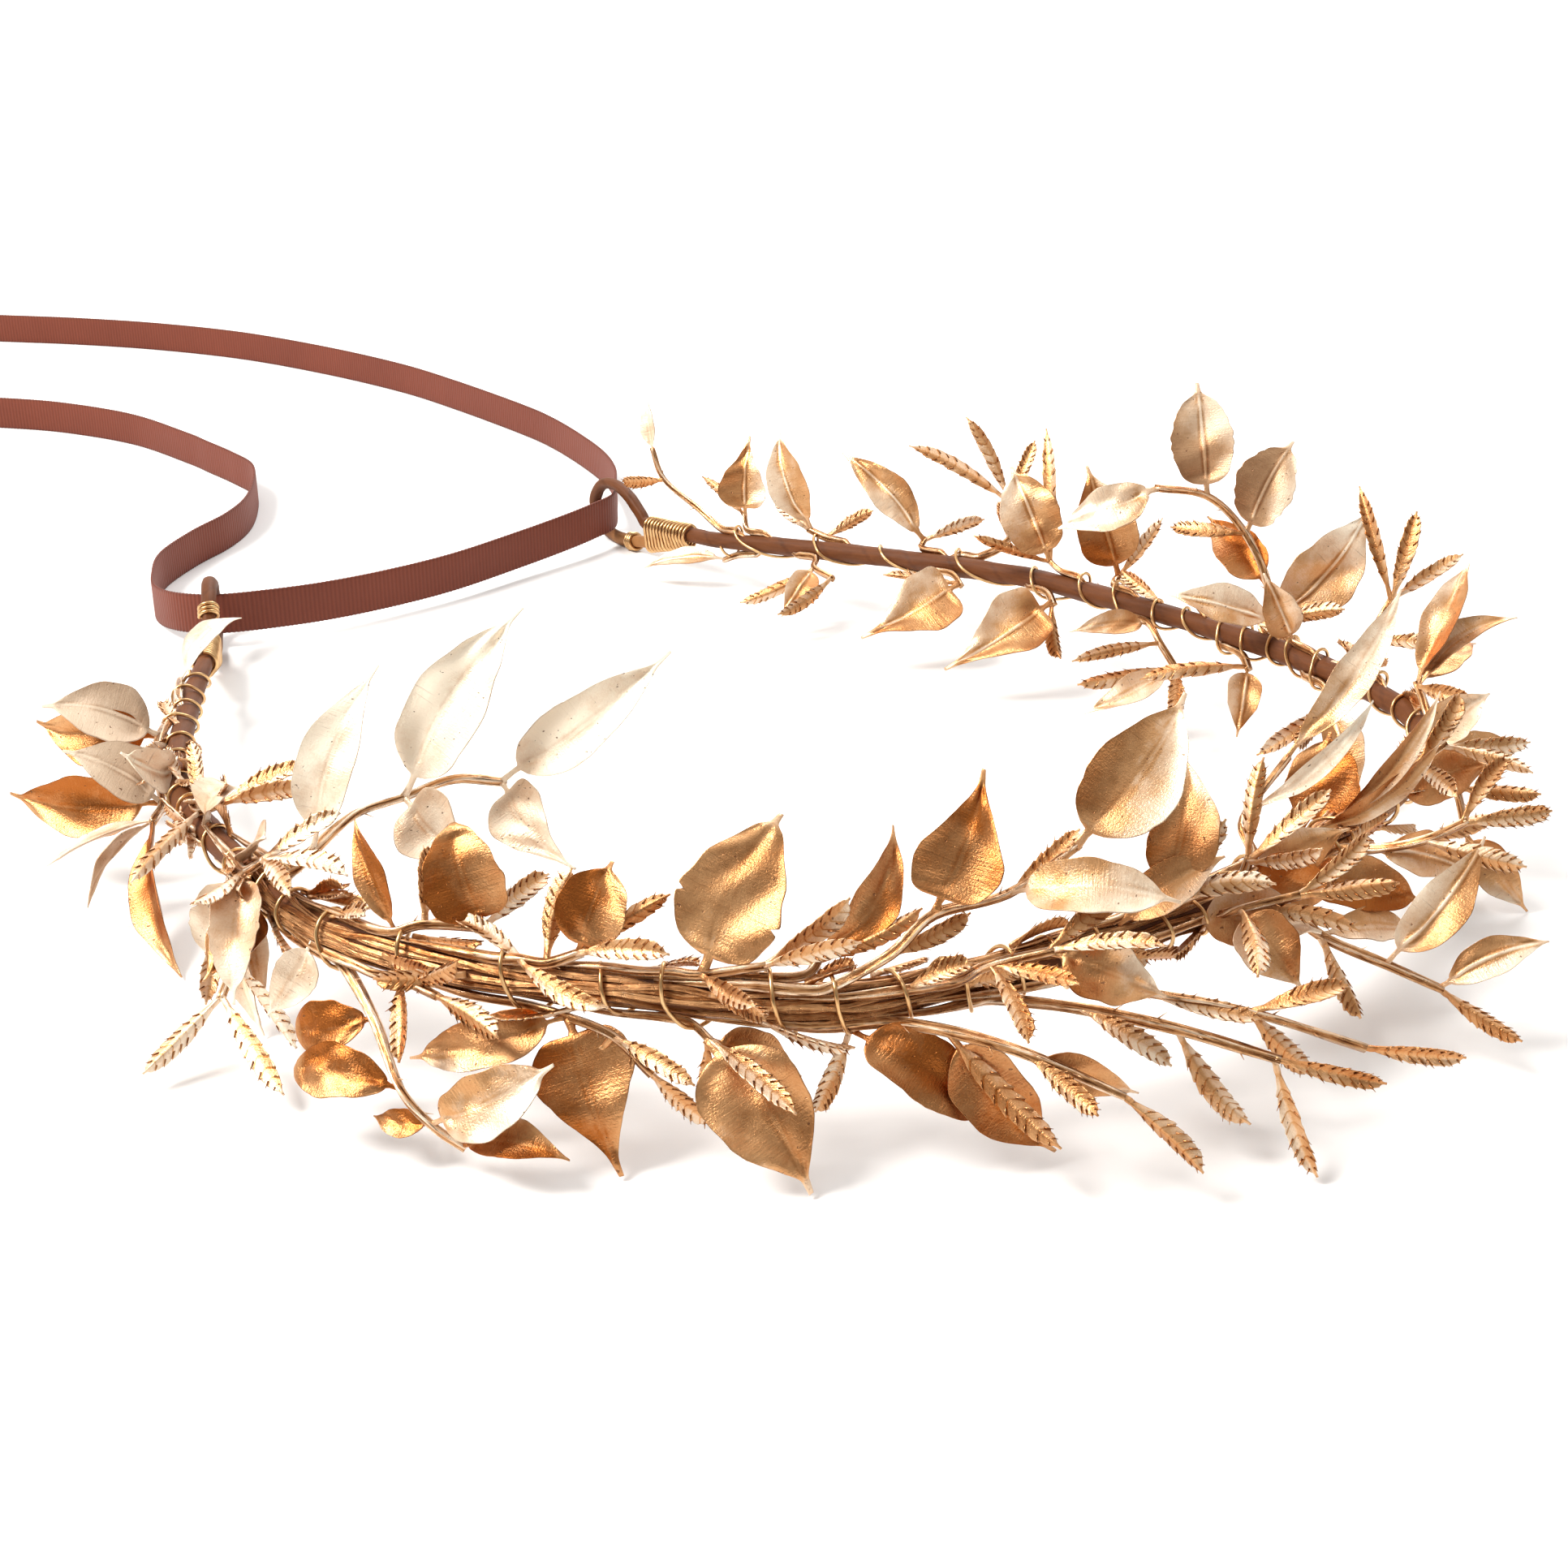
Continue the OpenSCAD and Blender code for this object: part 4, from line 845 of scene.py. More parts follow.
# %% Sprays
# (name, share along the hoop, slot, (look, rise), tone, stem, leaves, sprigs)
# leaf: (stem point, along, out, up, wide, look, rise, bend, outline, tone, veined, curl, cup)
# sprig: (stem point, along, out, up)
SPRAYS = [
    ("spray_left_fan", 0.108, 30, (230, 20), 0.3,
        [(0.6, 0.05, 0), (1.5, 0.06, -0.15), (2.28, -0.06, -0.4), (2.9, 0, -0.42)],
        [(1, -0.08, 0.75, 0.24, 0.95, 230, 50, 0.1, "ovate", 0.34, 1, -0.06, 1.4),
         (1, -0.36, 0.84, 0.06, 0.95, 230, 20, 0.1, "ovate", 0.92, 0, 0.05, 1.3),
         (3, -0.05, 0.58, 0.38, 0.8, 230, 50, 0.08, "ovate", 0.34, 1, -0.06, 1.3),
         (3, -0.35, 0.98, 0.03, 0.9, 230, 20, 0.1, "ovate", 0.88, 0, 0.05, 1.4),
         (4, -0.04, 0.68, -0.26, 0.35, 150, 20, 0.08, "lance", 0.08, 0, 0.06, 1),
         (4, 0.29, 0.42, -0.44, 0.4, 150, 10, 0.1, "lance", 0.4, 0, 0.08, 1.5),
         (4, 0.96, -0.17, -0.68, 0.6, 210, 10, 0.05, "lance", 0.85, 0, -0.06, 2.0)],
        []),
    ("spray_left_low", 0.22, 270, (230, 20), 0.25,
        [(0.6, 0.3, -0.2), (1.3, 0.5, -0.5), (1.7, 0.8, -0.7)],
        [(1, 0.4, 0.0, -0.65, 0.55, 200, 10, 0.08, "ovate", 0.18, 0, 0.05, 1)],
        [(3, 0.1, 0.85, -0.5), (3, 1.15, -0.1, -0.55), (1, 0.45, 0.45, -0.7), (2, 0.75, -0.25, -0.7)]),
    ("spray_left_tuft", 0.2, 80, (230, 30), 0.3,
        [(0.2, -0.2, 0.1)],
        [],
        [(0, -0.4, -0.1, 0.6), (1, 0.2, -0.9, 0.3), (1, 0.7, -0.85, 0.2), (1, 0.8, 0.1, 0.5),
         (0, 0.7, 0.9, -0.3)]),
    ("spray_left_mid", 0.245, 50, (230, 30), 0.25,
        [(0.3, -0.1, 0.2)],
        [(0, 0.55, 0.35, -0.5, 0.65, 230, 30, 0.1, "torn", 0.3, 0, 0.0, 1.6)],
        [(1, 0.8, -0.5, 0.0), (1, 0.3, -0.7, 0.4), (1, 0.9, 0.1, 0.0), (0, 0.6, 0.7, 0.1)]),
    ("spray_left_arch", 0.255, 120, (230, 30), 0.2,
        [(0.0, -0.3, 0.2), (-0.2, -0.9, 0.4), (-0.1, -1.5, 0.5), (0.0, -2.1, 0.6), (0.2, -2.6, 0.5)],
        [(1, -0.1, -0.55, 0.95, 0.75, 230, 30, 0.08, "ovate", 0.04, 0, 0.05, 1),
         (3, 0.1, -0.8, 1.0, 1.0, 230, 30, 0.08, "ovate", 0.0, 0, 0.04, 1),
         (5, 0.4, -0.95, 0.7, 0.8, 240, 40, 0.08, "ovate", 0.02, 0, -0.05, 1.5),
         (3, 0.55, -0.2, -0.35, 0.9, 230, 20, 0.05, "heart", 0.16, 0, -0.05, 0.7),
         (5, 0.55, -0.15, -0.4, 0.8, 230, 20, 0.05, "heart", 0.2, 0, -0.08, 0.7)],
        []),
    ("spray_left_hang", 0.285, 300, (230, 30), 0.3,
        [(0.7, 0.3, -0.3), (1.4, 0.7, -0.7), (1.8, 0.7, -1.0), (2.1, 0.6, -1.2)],
        [(1, -0.43, 0.16, -0.14, 0.65, 240, 40, 0.1, "spoon", 0.95, 0, 0.05, 0.45),
         (2, -0.61, 0.15, -0.01, 0.65, 240, 40, 0.12, "spoon", 0.95, 0, -0.03, 0.45),
         (3, -0.35, 0.06, -0.04, 0.35, 240, 40, 0.05, "lance", 0.85, 0, 0.06, 1),
         (3, 0.54, -0.36, 0.36, 0.75, 240, 40, 0.08, "round", 0.34, 0, -0.05, 0.8),
         (4, 0.59, -0.16, 0.04, 0.5, 240, 50, 0.12, "lance", 0.8, 0, 0.06, 1)],
        []),
    ("spray_front_first", 0.3, 80, (230, 30), 0.46,
        [(0.3, -0.1, 0.1), (0.9, -0.3, 0.1)],
        [(0, -0.35, -0.2, 0.5, 0.4, 220, 20, 0.1, "lance", 0.85, 0, 0.0, 1),
         (2, -0.25, -0.15, 0.5, 0.95, 240, 30, 0.15, "blunt", 0.9, 0, 0.05, 1)],
        [(1, 0.5, -0.5, 0.2), (1, -0.2, -0.5, 0.5), (2, 0.2, -0.8, 0.2)]),
    ("spray_front_second", 0.297, 330, (230, 30), 0.46,
        [(0.4, 0.1, 0.1), (0.9, 0.2, 0.1)],
        [],
        [(1, 0.4, 0.6, -0.4), (2, 0.8, 0.2, -0.1), (1, 0.7, 0.1, 0.4)]),
    ("spray_front_third", 0.332, 70, (230, 30), 0.46,
        [(0.3, 0.0, 0.0), (0.6, -0.1, 0.1)],
        [(2, 0.1, -0.3, 0.4, 0.8, 240, 30, 0.12, "round", 0.88, 0, 0.04, 1)],
        [(1, 0.05, -0.55, 0.65), (2, 0.7, -0.45, 0.45), (2, 0.85, 0.05, 0.15), (0, 0.95, 0.4, -0.1)]),
    ("spray_front_low", 0.337, 290, (230, 30), 0.46,
        [(0.3, 0.1, 0.0), (0.8, 0.2, -0.1), (1.2, 0.3, -0.4)],
        [(1, 0.35, 0.3, -0.73, 1.2, 230, 30, 0.06, "heart", 0.86, 0, -0.02, 0.35),
         (1, -0.85, 0.1, -0.3, 0.6, 250, 40, 0.12, "round", 0.66, 0, 0.05, 0.7)],
        [(2, 0.8, 0.3, -0.2), (3, 0.5, -0.2, -0.6), (2, -0.6, 0.1, -0.7)]),
    ("spray_front_high", 0.367, 80, (230, 30), 0.46,
        [(0.3, 0.0, 0.0), (0.9, -0.1, 0.1)],
        [(1, 0.3, -0.6, 0.65, 1.25, 230, 30, 0.06, "nicked", 0.62, 0, 0.05, 0.55)],
        [(2, 0.7, -0.35, 0.55), (2, 0.85, -0.05, 0.3), (1, 0.6, 0.6, 0.1)]),
    ("spray_front_fall", 0.371, 280, (230, 30), 0.46,
        [(0.2, 0.1, -0.1)],
        [(1, 0.6, 0.3, -0.67, 1.2, 230, 30, 0.08, "ovate", 0.58, 0, 0.06, 1),
         (1, 0.45, -0.2, -0.3, 0.6, 240, 40, 0.1, "ovate", 0.75, 0, 0.0, 1)],
        [(1, 0.9, 0.7, -0.2), (1, 0.05, 0.0, -0.8)]),
    ("spray_front_rise", 0.397, 100, (230, 30), 0.46,
        [(0.1, -0.1, 0.1)],
        [(1, 0.4, -0.45, 0.55, 0.55, 240, 20, 0.12, "lance", 0.82, 0, -0.12, 1.4)],
        [(1, 0.9, -0.2, 0.4)]),
    ("spray_front_arch", 0.402, 60, (230, 30), 0.42,
        [(0.6, 0.0, 0.3), (1.1, -0.2, 0.6), (1.9, -0.3, 0.7), (2.7, -0.6, 1.0)],
        [(2, 0.35, -0.4, 0.6, 1.0, 230, 30, 0.08, "heart", 0.86, 0, -0.05, 1),
         (4, 0.7, -0.4, 0.65, 1.1, 230, 30, 0.06, "ovate", 0.54, 0, -0.05, 1),
         (3, 0.8, 0.35, 0.05, 0.65, 240, 50, 0.17, "round", 0.38, 0, 0.0, 1.2)],
        [(3, 0.75, -0.4, 0.35), (1, 0.8, -0.4, 0.1)]),
    ("spray_front_drop", 0.402, 270, (230, 30), 0.46,
        [(0.2, 0.1, 0.0)],
        [(1, 0.65, 0.3, -0.5, 0.75, 240, 40, 0.12, "round", 1.0, 0, 0.06, 0.6)],
        [(1, -0.3, 0.0, -0.8)]),
    ("spray_fan_near", 0.415, 310, (230, 30), 0.42,
        [(0.5, 0.3, 0.0), (1.2, 0.8, -0.1), (2.0, 1.3, -0.4)],
        [(1, 0.55, 0.2, -0.7, 0.85, 230, 20, 0.08, "ovate", 0.8, 0, -0.05, 1),
         (2, 0.6, 0.05, -0.3, 0.45, 230, 20, 0.08, "ovate", 0.6, 0, 0.0, 1)],
        [(3, 0.6, 0.45, -0.6), (1, 0.7, 0.95, -0.7), (2, 0.4, 0.6, -0.3)]),
    ("spray_fan_middle", 0.442, 300, (230, 30), 0.42,
        [(0.7, 0.5, 0.0), (1.5, 1.1, -0.1), (2.3, 1.7, -0.3)],
        [],
        [(2, 0.45, 0.55, -0.75), (3, 0.2, 0.5, -0.95), (3, 0.85, 0.45, -0.2), (1, 0.5, 0.7, -0.3)]),
    ("spray_fan_far", 0.46, 330, (230, 30), 0.42,
        [(0.5, 0.6, 0.0), (1.3, 1.3, -0.1), (2.2, 2.0, -0.4)],
        [],
        [(3, 0.8, 0.45, -0.1), (2, 0.8, 0.3, 0.2), (1, 0.7, 0.7, -0.1), (2, 0.5, 0.3, -0.6)]),
    ("spray_front_out", 0.43, 30, (230, 40), 0.46,
        [(0.2, 0.3, 0.3), (0.7, 0.6, 0.5)],
        [(2, 0.55, 0.25, -0.25, 0.75, 230, 40, 0.1, "ovate", 0.55, 0, 0.0, 1)],
        [(1, 0.4, 0.8, 0.15), (1, -0.05, 0.8, -0.3), (2, 0.75, 0.6, 0.2), (2, 0.8, 0.0, 0.4)]),
    ("spray_right_first", 0.48, 90, (230, 30), 0.44,
        [(0.3, 0.1, 0.1)],
        [(1, 0.4, -0.35, 0.65, 0.85, 230, 20, 0.08, "ovate", 0.68, 0, -0.06, 1)],
        [(1, 0.8, 0.6, 0.2), (1, 0.8, -0.1, 0.55)]),
    ("spray_right_tuft", 0.513, 60, (230, 30), 0.44,
        [(0.1, 0.0, 0.2)],
        [(1, 0.4, 0.3, -0.25, 0.6, 230, 30, 0.1, "round", 1.0, 0, 0.0, 1)],
        [(1, 0.5, -0.3, 0.8), (1, 0.75, 0.3, 0.6), (1, 0.05, 0.75, 0.4)]),
    ("spray_right_long", 0.525, 110, (230, 30), 0.44,
        [(0.2, -0.3, 0.3), (0.9, -0.3, 0.8)],
        [(2, 1.0, 0.0, 0.8, 0.5, 210, 10, 0.08, "lance", 0.38, 0, -0.05, 1.5),
         (1, 0.95, 0.15, 0.5, 0.4, 210, 10, 0.08, "slim", 0.16, 0, -0.06, 1.5)],
        []),
    ("spray_right_inner", 0.57, 175, (230, 30), 0.44,
        [(0.02, -0.11, -0.27)],
        [(1, 0.27, -0.14, 0.52, 0.95, 212, 16, 0.1, "round", 1.0, 0, 0.0, 1),
         (1, 0.55, -0.3, 0.3, 0.6, 200, 20, 0.1, "lance", 0.55, 0, 0.06, 1.6)],
        []),
    ("spray_right_out", 0.5, 10, (230, 40), 0.44,
        [(0.1, 0.3, 0.2), (0.5, 0.7, 0.4)],
        [(1, 0.1, 0.4, -0.35, 0.75, 230, 30, 0.08, "ovate", 0.5, 0, 0.0, 1)],
        [(2, 0.8, 0.5, 0.1), (1, 0.7, 0.8, -0.1), (2, 0.85, 0.05, 0.4), (1, -0.5, 0.7, -0.2)]),
    ("spray_right_wide", 0.549, 20, (230, 40), 0.44,
        [(0.1, 0.4, 0.1), (0.3, 0.9, 0.3), (0.6, 1.2, 0.5)],
        [(1, 0.45, 0.4, -0.2, 0.6, 230, 30, 0.1, "lance", 0.5, 0.5, 0.06, 1)],
        [(2, 0.3, 0.9, -0.1), (3, 0.6, 0.6, 0.1), (2, 0.85, 0.3, 0.05), (3, 0.8, 0.05, 0.4)]),
    ("spray_right_crest", 0.588, 40, (230, 40), 0.44,
        [(0.1, 0.1, 0.3), (0.4, 0.3, 0.5)],
        [],
        [(1, 0.65, 0.15, 0.6), (2, 0.6, 0.7, 0.0), (2, 0.1, 0.9, -0.1), (1, -0.5, 0.6, 0.0)]),
    ("spray_right_low", 0.528, 320, (230, 30), 0.44,
        [(0.1, 0.5, -0.3), (0.4, 1.2, -0.5), (0.7, 1.7, -0.7)],
        [(2, 0.7, 0.1, 0.6, 0.65, 210, 20, 0.08, "ovate", 0.45, 0.5, -0.05, 1),
         (3, 0.5, 0.35, 0.25, 0.5, 200, 30, 0.1, "lance", 0.48, 0.5, 0.05, 1),
         (1, 0.6, 0.25, -0.1, 0.5, 200, 50, 0.1, "lance", 0.35, 0, 0.0, 1)],
        [(3, 0.2, 0.8, -0.3), (1, -0.1, 0.6, -0.6)]),
    ("spray_right_top", 0.64, 60, (210, 30), 0.44,
        [(0.3, -0.1, 0.3)],
        [(1, 0.55, 0.4, 0.65, 0.6, 180, 30, 0.1, "lance", 0.5, 0, -0.06, 1.8),
         (1, 0.2, 0.65, 0.4, 0.5, 180, 40, 0.1, "lance", 0.5, 0, 0.08, 1.6),
         (1, 0.5, 0.5, 0.1, 0.7, 200, 50, 0.1, "ovate", 0.6, 0.5, 0.0, 1)],
        [(1, -0.6, 0.4, 0.1)]),
    ("spray_right_side", 0.622, 340, (220, 30), 0.44,
        [(0.0, 0.3, -0.3), (-0.2, 0.5, -0.8)],
        [(2, -0.05, 0.45, -0.45, 0.6, 210, 30, 0.1, "ovate", 0.6, 0, 0.0, 1),
         (0, 0.45, 0.5, 0.0, 0.6, 200, 40, 0.1, "ovate", 0.58, 0.5, 0.0, 1)],
        [(1, 0.2, 0.85, 0.0), (2, 0.2, 0.2, -0.59)]),
    ("spray_back_bud", 0.953, 90, (230, 20), 0.44,
        [(0.5, 0.0, 0.3), (1.2, -0.1, 0.8), (1.4, -0.1, 1.3)],
        [(3, 0.1, 0.1, 0.45, 0.35, 200, 10, 0.05, "lance", 0.1, 0, 0.0, 1)],
        [(2, 0.6, -0.3, 0.0)]),
    ("spray_back_first", 0.94, 80, (230, 20), 0.46,
        [(0.1, 0.1, 0.2)],
        [(1, 0.05, 0.25, 0.65, 0.9, 230, 10, 0.05, "heart", 0.5, 0.5, 0.03, 1)],
        [(1, 0.9, 0.2, 0.5)]),
    ("spray_back_second", 0.905, 60, (230, 20), 0.46,
        [(0.3, 0.0, 0.1)],
        [(1, 0.35, 0.15, 0.8, 0.75, 230, 10, 0.08, "lance", 0.38, 0.5, 0.08, 1.8)],
        [(0, -0.5, 0.5, 0.3), (1, 0.8, 0.35, 0.4)]),
    ("spray_back_third", 0.863, 60, (230, 20), 0.46,
        [(0.0, 0.1, 0.1)],
        [(1, 0.7, -0.1, 0.7, 0.7, 240, 20, 0.06, "lance", 0.48, 0.5, -0.05, 1.4)],
        [(1, -0.6, 0.6, 0.2)]),
    ("spray_back_fourth", 0.838, 50, (230, 20), 0.44,
        [(-0.2, 0.5, 0.2), (0.0, 0.8, 0.7)],
        [],
        [(2, 1.2, -0.6, 0.8), (2, 0.7, 0.05, 1.1), (2, -0.1, 0.5, 0.75), (1, 0.7, 0.8, 0.25)]),
    ("spray_back_fifth", 0.802, 80, (230, 20), 0.46,
        [(0.2, 0.0, 0.1)],
        [(1, 0.4, 0.0, 0.7, 1.0, 230, 20, 0.08, "round", 0.5, 0.5, 0.0, 1)],
        [(1, 0.8, -0.6, 0.35), (1, 0.5, 0.5, 1.6)]),
    ("spray_back_sixth", 0.778, 80, (230, 20), 0.46,
        [(0.0, 0.1, 0.1)],
        [(1, 0.35, 0.0, 0.8, 1.05, 230, 20, 0.08, "ovate", 0.72, 0.5, 0.0, 1)],
        [(1, 0.0, 0.8, 0.6)]),
    ("spray_back_arch", 0.718, 50, (230, 20), 0.46,
        [(0.2, 0.3, 0.5), (0.7, 0.3, 1.2), (1.2, 0.0, 1.7), (1.7, -0.5, 1.8)],
        [(3, 0.3, 0.15, 0.75, 1.0, 230, 10, 0.05, "torn", 0.5, 0.7, 0.0, 1),
         (2, 0.0, 0.45, 0.6, 0.95, 230, 10, 0.05, "torn", 0.48, 0.7, 0.05, 1),
         (4, 0.45, -0.55, -0.3, 0.8, 220, 40, 0.1, "lance", 0.32, 0, 0.05, 1),
         (1, 0.7, 0.1, 0.35, 0.75, 230, 30, 0.1, "ovate", 0.9, 0, 0.0, 1)],
        [(2, 0.75, -0.5, 0.0)]),
    ("spray_back_seventh", 0.703, 90, (230, 20), 0.46,
        [(0.3, -0.1, 0.2)],
        [(1, -0.1, 0.75, 0.75, 1.05, 230, 20, 0.08, "ovate", 0.38, 0.5, -0.05, 1),
         (1, 0.45, -0.6, 0.2, 0.65, 230, 40, 0.08, "lance", 0.32, 0.5, 0.0, 1),
         (0, 0.15, -0.2, 0.5, 0.6, 230, 20, 0.08, "ovate", 0.4, 0.5, 0.0, 1)],
        [(1, -0.7, 0.4, 0.3)]),
    ("spray_back_spikes", 0.676, 60, (230, 20), 0.44,
        [(0.2, 0.2, 0.3), (0.3, 0.6, 0.8)],
        [],
        [(2, 0.75, 0.0, 1.15), (2, 0.2, 0.4, 0.95), (2, -0.1, 0.9, 0.45), (1, -0.6, 0.7, 0.0)]),
    ("spray_inner_first", 0.845, 200, (230, 40), 0.44,
        [(-0.2, -0.1, -0.1)],
        [(1, 0.45, -0.75, -0.3, 1.2, 240, 50, 0.05, "heart", 0.55, 0.5, 0.04, 1)],
        [(1, 0.9, -0.5, 0.15)]),
    ("spray_inner_second", 0.803, 200, (230, 40), 0.44,
        [(-0.2, -0.1, -0.1)],
        [(1, 0.35, -0.85, -0.4, 1.15, 240, 50, 0.05, "heart", 0.55, 0.5, 0.04, 1)],
        [(1, -0.4, -0.3, -0.6)]),
    ("spray_inner_third", 0.905, 200, (230, 40), 0.44,
        [(-0.1, -0.2, -0.1), (-0.5, -0.3, -0.2)],
        [(1, 0.05, -0.45, -0.3, 0.55, 230, 40, 0.08, "ovate", 0.5, 0.5, 0.0, 1)],
        [(1, 0.75, -0.8, -0.35), (2, 0.3, -0.9, -0.3)]),
    ("spray_inner_fourth", 0.758, 220, (230, 40), 0.42,
        [(-0.3, -0.1, -0.2), (-0.6, -0.1, -0.5)],
        [(2, 0.25, -0.7, -0.25, 0.5, 230, 50, 0.08, "lance", 0.35, 0, 0.05, 1),
         (0, 0.3, -0.55, 0.0, 0.45, 230, 50, 0.08, "ovate", 0.5, 0, 0.0, 1)],
        [(1, 0.5, -1.05, -0.1), (2, 0.6, -1.1, -0.1), (2, -0.5, -0.6, -0.4)]),
    ("spray_inner_fifth", 0.72, 230, (230, 40), 0.44,
        [(-0.2, -0.1, -0.1)],
        [(1, -0.2, -0.3, -0.4, 0.55, 230, 20, 0.08, "ovate", 0.52, 0.5, 0.0, 1)],
        [(1, 0.7, -1.1, -0.1)]),
    ("spray_inner_sixth", 0.685, 220, (230, 40), 0.44,
        [(-0.2, -0.1, -0.2)],
        [(1, -0.4, -0.05, -0.5, 0.6, 220, 30, 0.08, "ovate", 0.52, 0.5, 0.0, 1)],
        [(1, 0.1, -1.0, -0.4), (1, -0.3, -0.8, -0.2)]),
    ("spray_neck_left", 0.078, 50, (230, 20), 0.2,
        [(-0.9, 0.05, -0.05)],
        [(1, -0.66, -0.44, 0.29, 0.42, 230, 30, 0.1, "lance", 0.1, 0, 0.1, 1)],
        []),
    ("spray_neck_right", 0.945, 270, (230, 20), 0.3,
        [(0.3, 0.0, -0.1)],
        [(1, 0.7, -0.3, -0.05, 0.45, 230, 60, 0.1, "lance", 0.3, 0.5, 0.0, 1)],
        []),
]
leaf_count = sum(len(row[6]) for row in SPRAYS)
sprig_count = sum(len(row[7]) for row in SPRAYS)
print(len(SPRAYS), "sprays with", leaf_count, "leaves and", sprig_count, "sprigs")

# %% Where each spray is tied
TAIL_SUNK = 0.35


def under_at(share):
    """How thick, from its middle, the thing is that a stem is tied to"""
    return BUNDLE_D / 2 if BUNDLE[0] < share < BUNDLE[1] else CORE_D / 2


def spoke_at(share, slot):
    """The direction out of the hoop at a share of its length and a slot in degrees"""
    angle = math.radians(slot)
    return in_frame(share, (0, math.cos(angle), math.sin(angle)))


def foot_of(share, slot):
    """The foot of a stem and the spoke that it is tied on"""
    spoke = spoke_at(share, slot)
    return hoop_at(share) + spoke * (under_at(share) + REST + STEM_D / 2), spoke


def way_of(row):
    """1 where a spray's stem runs on along the hoop, -1 where it runs back"""
    return -1 if row[5][0][0] < 0 else 1


def stem_points(row):
    """A spray's stem: its tied tail, and its foot with the points of the solid's stem"""
    share = row[1]
    foot, spoke = foot_of(share, row[2])
    tail = foot - along_at(share) * (way_of(row) * FOOT_L * STEM_D) - spoke * TAIL_SUNK
    return tail, [foot] + [foot + in_frame(share, p) * STEM_STEP for p in row[5]], spoke

print("a foot is tied", round(BUNDLE_D / 2 + REST + STEM_D / 2, 2), "mm from the wire's middle at the front")

# %% [markdown]
# A leaf is a thin shell with two faces. It starts as a short stalk, spreads into its
# outline, cups towards its rims, and ends in a narrow spine. Left and right halves
# differ a little, as in real leaves, and the rims waver. The veined back has a raised
# midrib. Rings around the leaf, from stalk to spine, carry all of this at once.

# %% Leaf outlines
# (share of the length, share of the half width)
OUTLINES = {
    "ovate": [(0, 0.11), (0.12, 0.10), (0.15, 0.34), (0.20, 0.68), (0.28, 0.92), (0.40, 1.0), (0.55, 0.92),
              (0.70, 0.65), (0.82, 0.34), (0.90, 0.11), (0.95, 0.07), (1, 0.05)],
    "heart": [(0, 0.11), (0.115, 0.10), (0.13, 0.48), (0.17, 0.80), (0.25, 0.98), (0.36, 1.0), (0.50, 0.80),
              (0.64, 0.50), (0.78, 0.25), (0.87, 0.11), (0.94, 0.07), (1, 0.05)],
    "round": [(0, 0.11), (0.12, 0.10), (0.15, 0.42), (0.22, 0.80), (0.36, 1.0), (0.55, 1.0), (0.72, 0.80),
              (0.84, 0.46), (0.90, 0.15), (0.95, 0.08), (1, 0.06)],
    "lance": [(0, 0.14), (0.10, 0.14), (0.16, 0.38), (0.28, 0.80), (0.44, 1.0), (0.60, 0.90), (0.76, 0.58),
              (0.88, 0.25), (0.95, 0.10), (1, 0.05)],
    "slim": [(0, 0.14), (0.10, 0.14), (0.18, 0.30), (0.30, 0.58), (0.46, 0.70), (0.62, 0.62), (0.78, 0.40),
             (0.90, 0.18), (0.96, 0.09), (1, 0.05)],
    "blunt": [(0, 0.11), (0.12, 0.10), (0.15, 0.55), (0.24, 0.92), (0.38, 1.0), (0.60, 0.90), (0.80, 0.66),
              (0.91, 0.42), (0.96, 0.22), (0.985, 0.10), (1, 0.06)],
    "nicked": [(0, 0.11), (0.12, 0.10), (0.14, 0.30), (0.18, 0.66), (0.25, 0.92), (0.36, 1.0), (0.50, 0.93),
               (0.64, 0.76), (0.78, 0.50), (0.89, 0.24), (0.93, 0.09), (1, 0.05)],
    "spoon": [(0, 0.11), (0.10, 0.11), (0.18, 0.40), (0.34, 0.80), (0.54, 1.0), (0.70, 0.98), (0.84, 0.80),
              (0.94, 0.48), (0.985, 0.25), (1, 0.08)],
}
OUTLINES["torn"] = OUTLINES["round"]
OUTLINE_STEPS = 8
NARROWEST = 0.03
LEAF_U = np.concatenate([
    np.linspace(0, 0.115, 4), np.linspace(0.13, 0.26, 9), np.linspace(0.28, 0.78, 21),
    np.linspace(0.80, 0.93, 8), np.linspace(0.95, 1, 3)])
LEAF_HALF_V = np.array([1, 0.97, 0.90, 0.76, 0.56, 0.36, 0.18, 0.08, 0.03])
LEAF_V = np.concatenate([LEAF_HALF_V, -LEAF_HALF_V[::-1]])[None, :]


def outline_at(name, u):
    """Half width of an outline, as a share, at shares u of the length"""
    curve = smooth_line(OUTLINES[name], OUTLINE_STEPS)
    return np.maximum(NARROWEST, np.interp(u, curve[:, 0], curve[:, 1]))


def facing(look, rise):
    """The direction with a bearing in plan and an angle above level"""
    look, rise = math.radians(look), math.radians(rise)
    return np.array([math.cos(rise) * math.cos(look), math.cos(rise) * math.sin(look), math.sin(rise)])


def blade_frame(d, turned):
    """A blade's length and its directions: along, to its side and out of its upper face"""
    length = np.linalg.norm(d)
    along = d / length
    side = unit(np.cross(turned, along))
    return length, along, side, np.cross(along, side)


def bowed(u, length, amount):
    """A bow from one end of a blade to the other"""
    return length * amount * 4 * u * (1 - u)


print(len(OUTLINES), "outlines, leaf grid", len(LEAF_U), "x", LEAF_V.size)

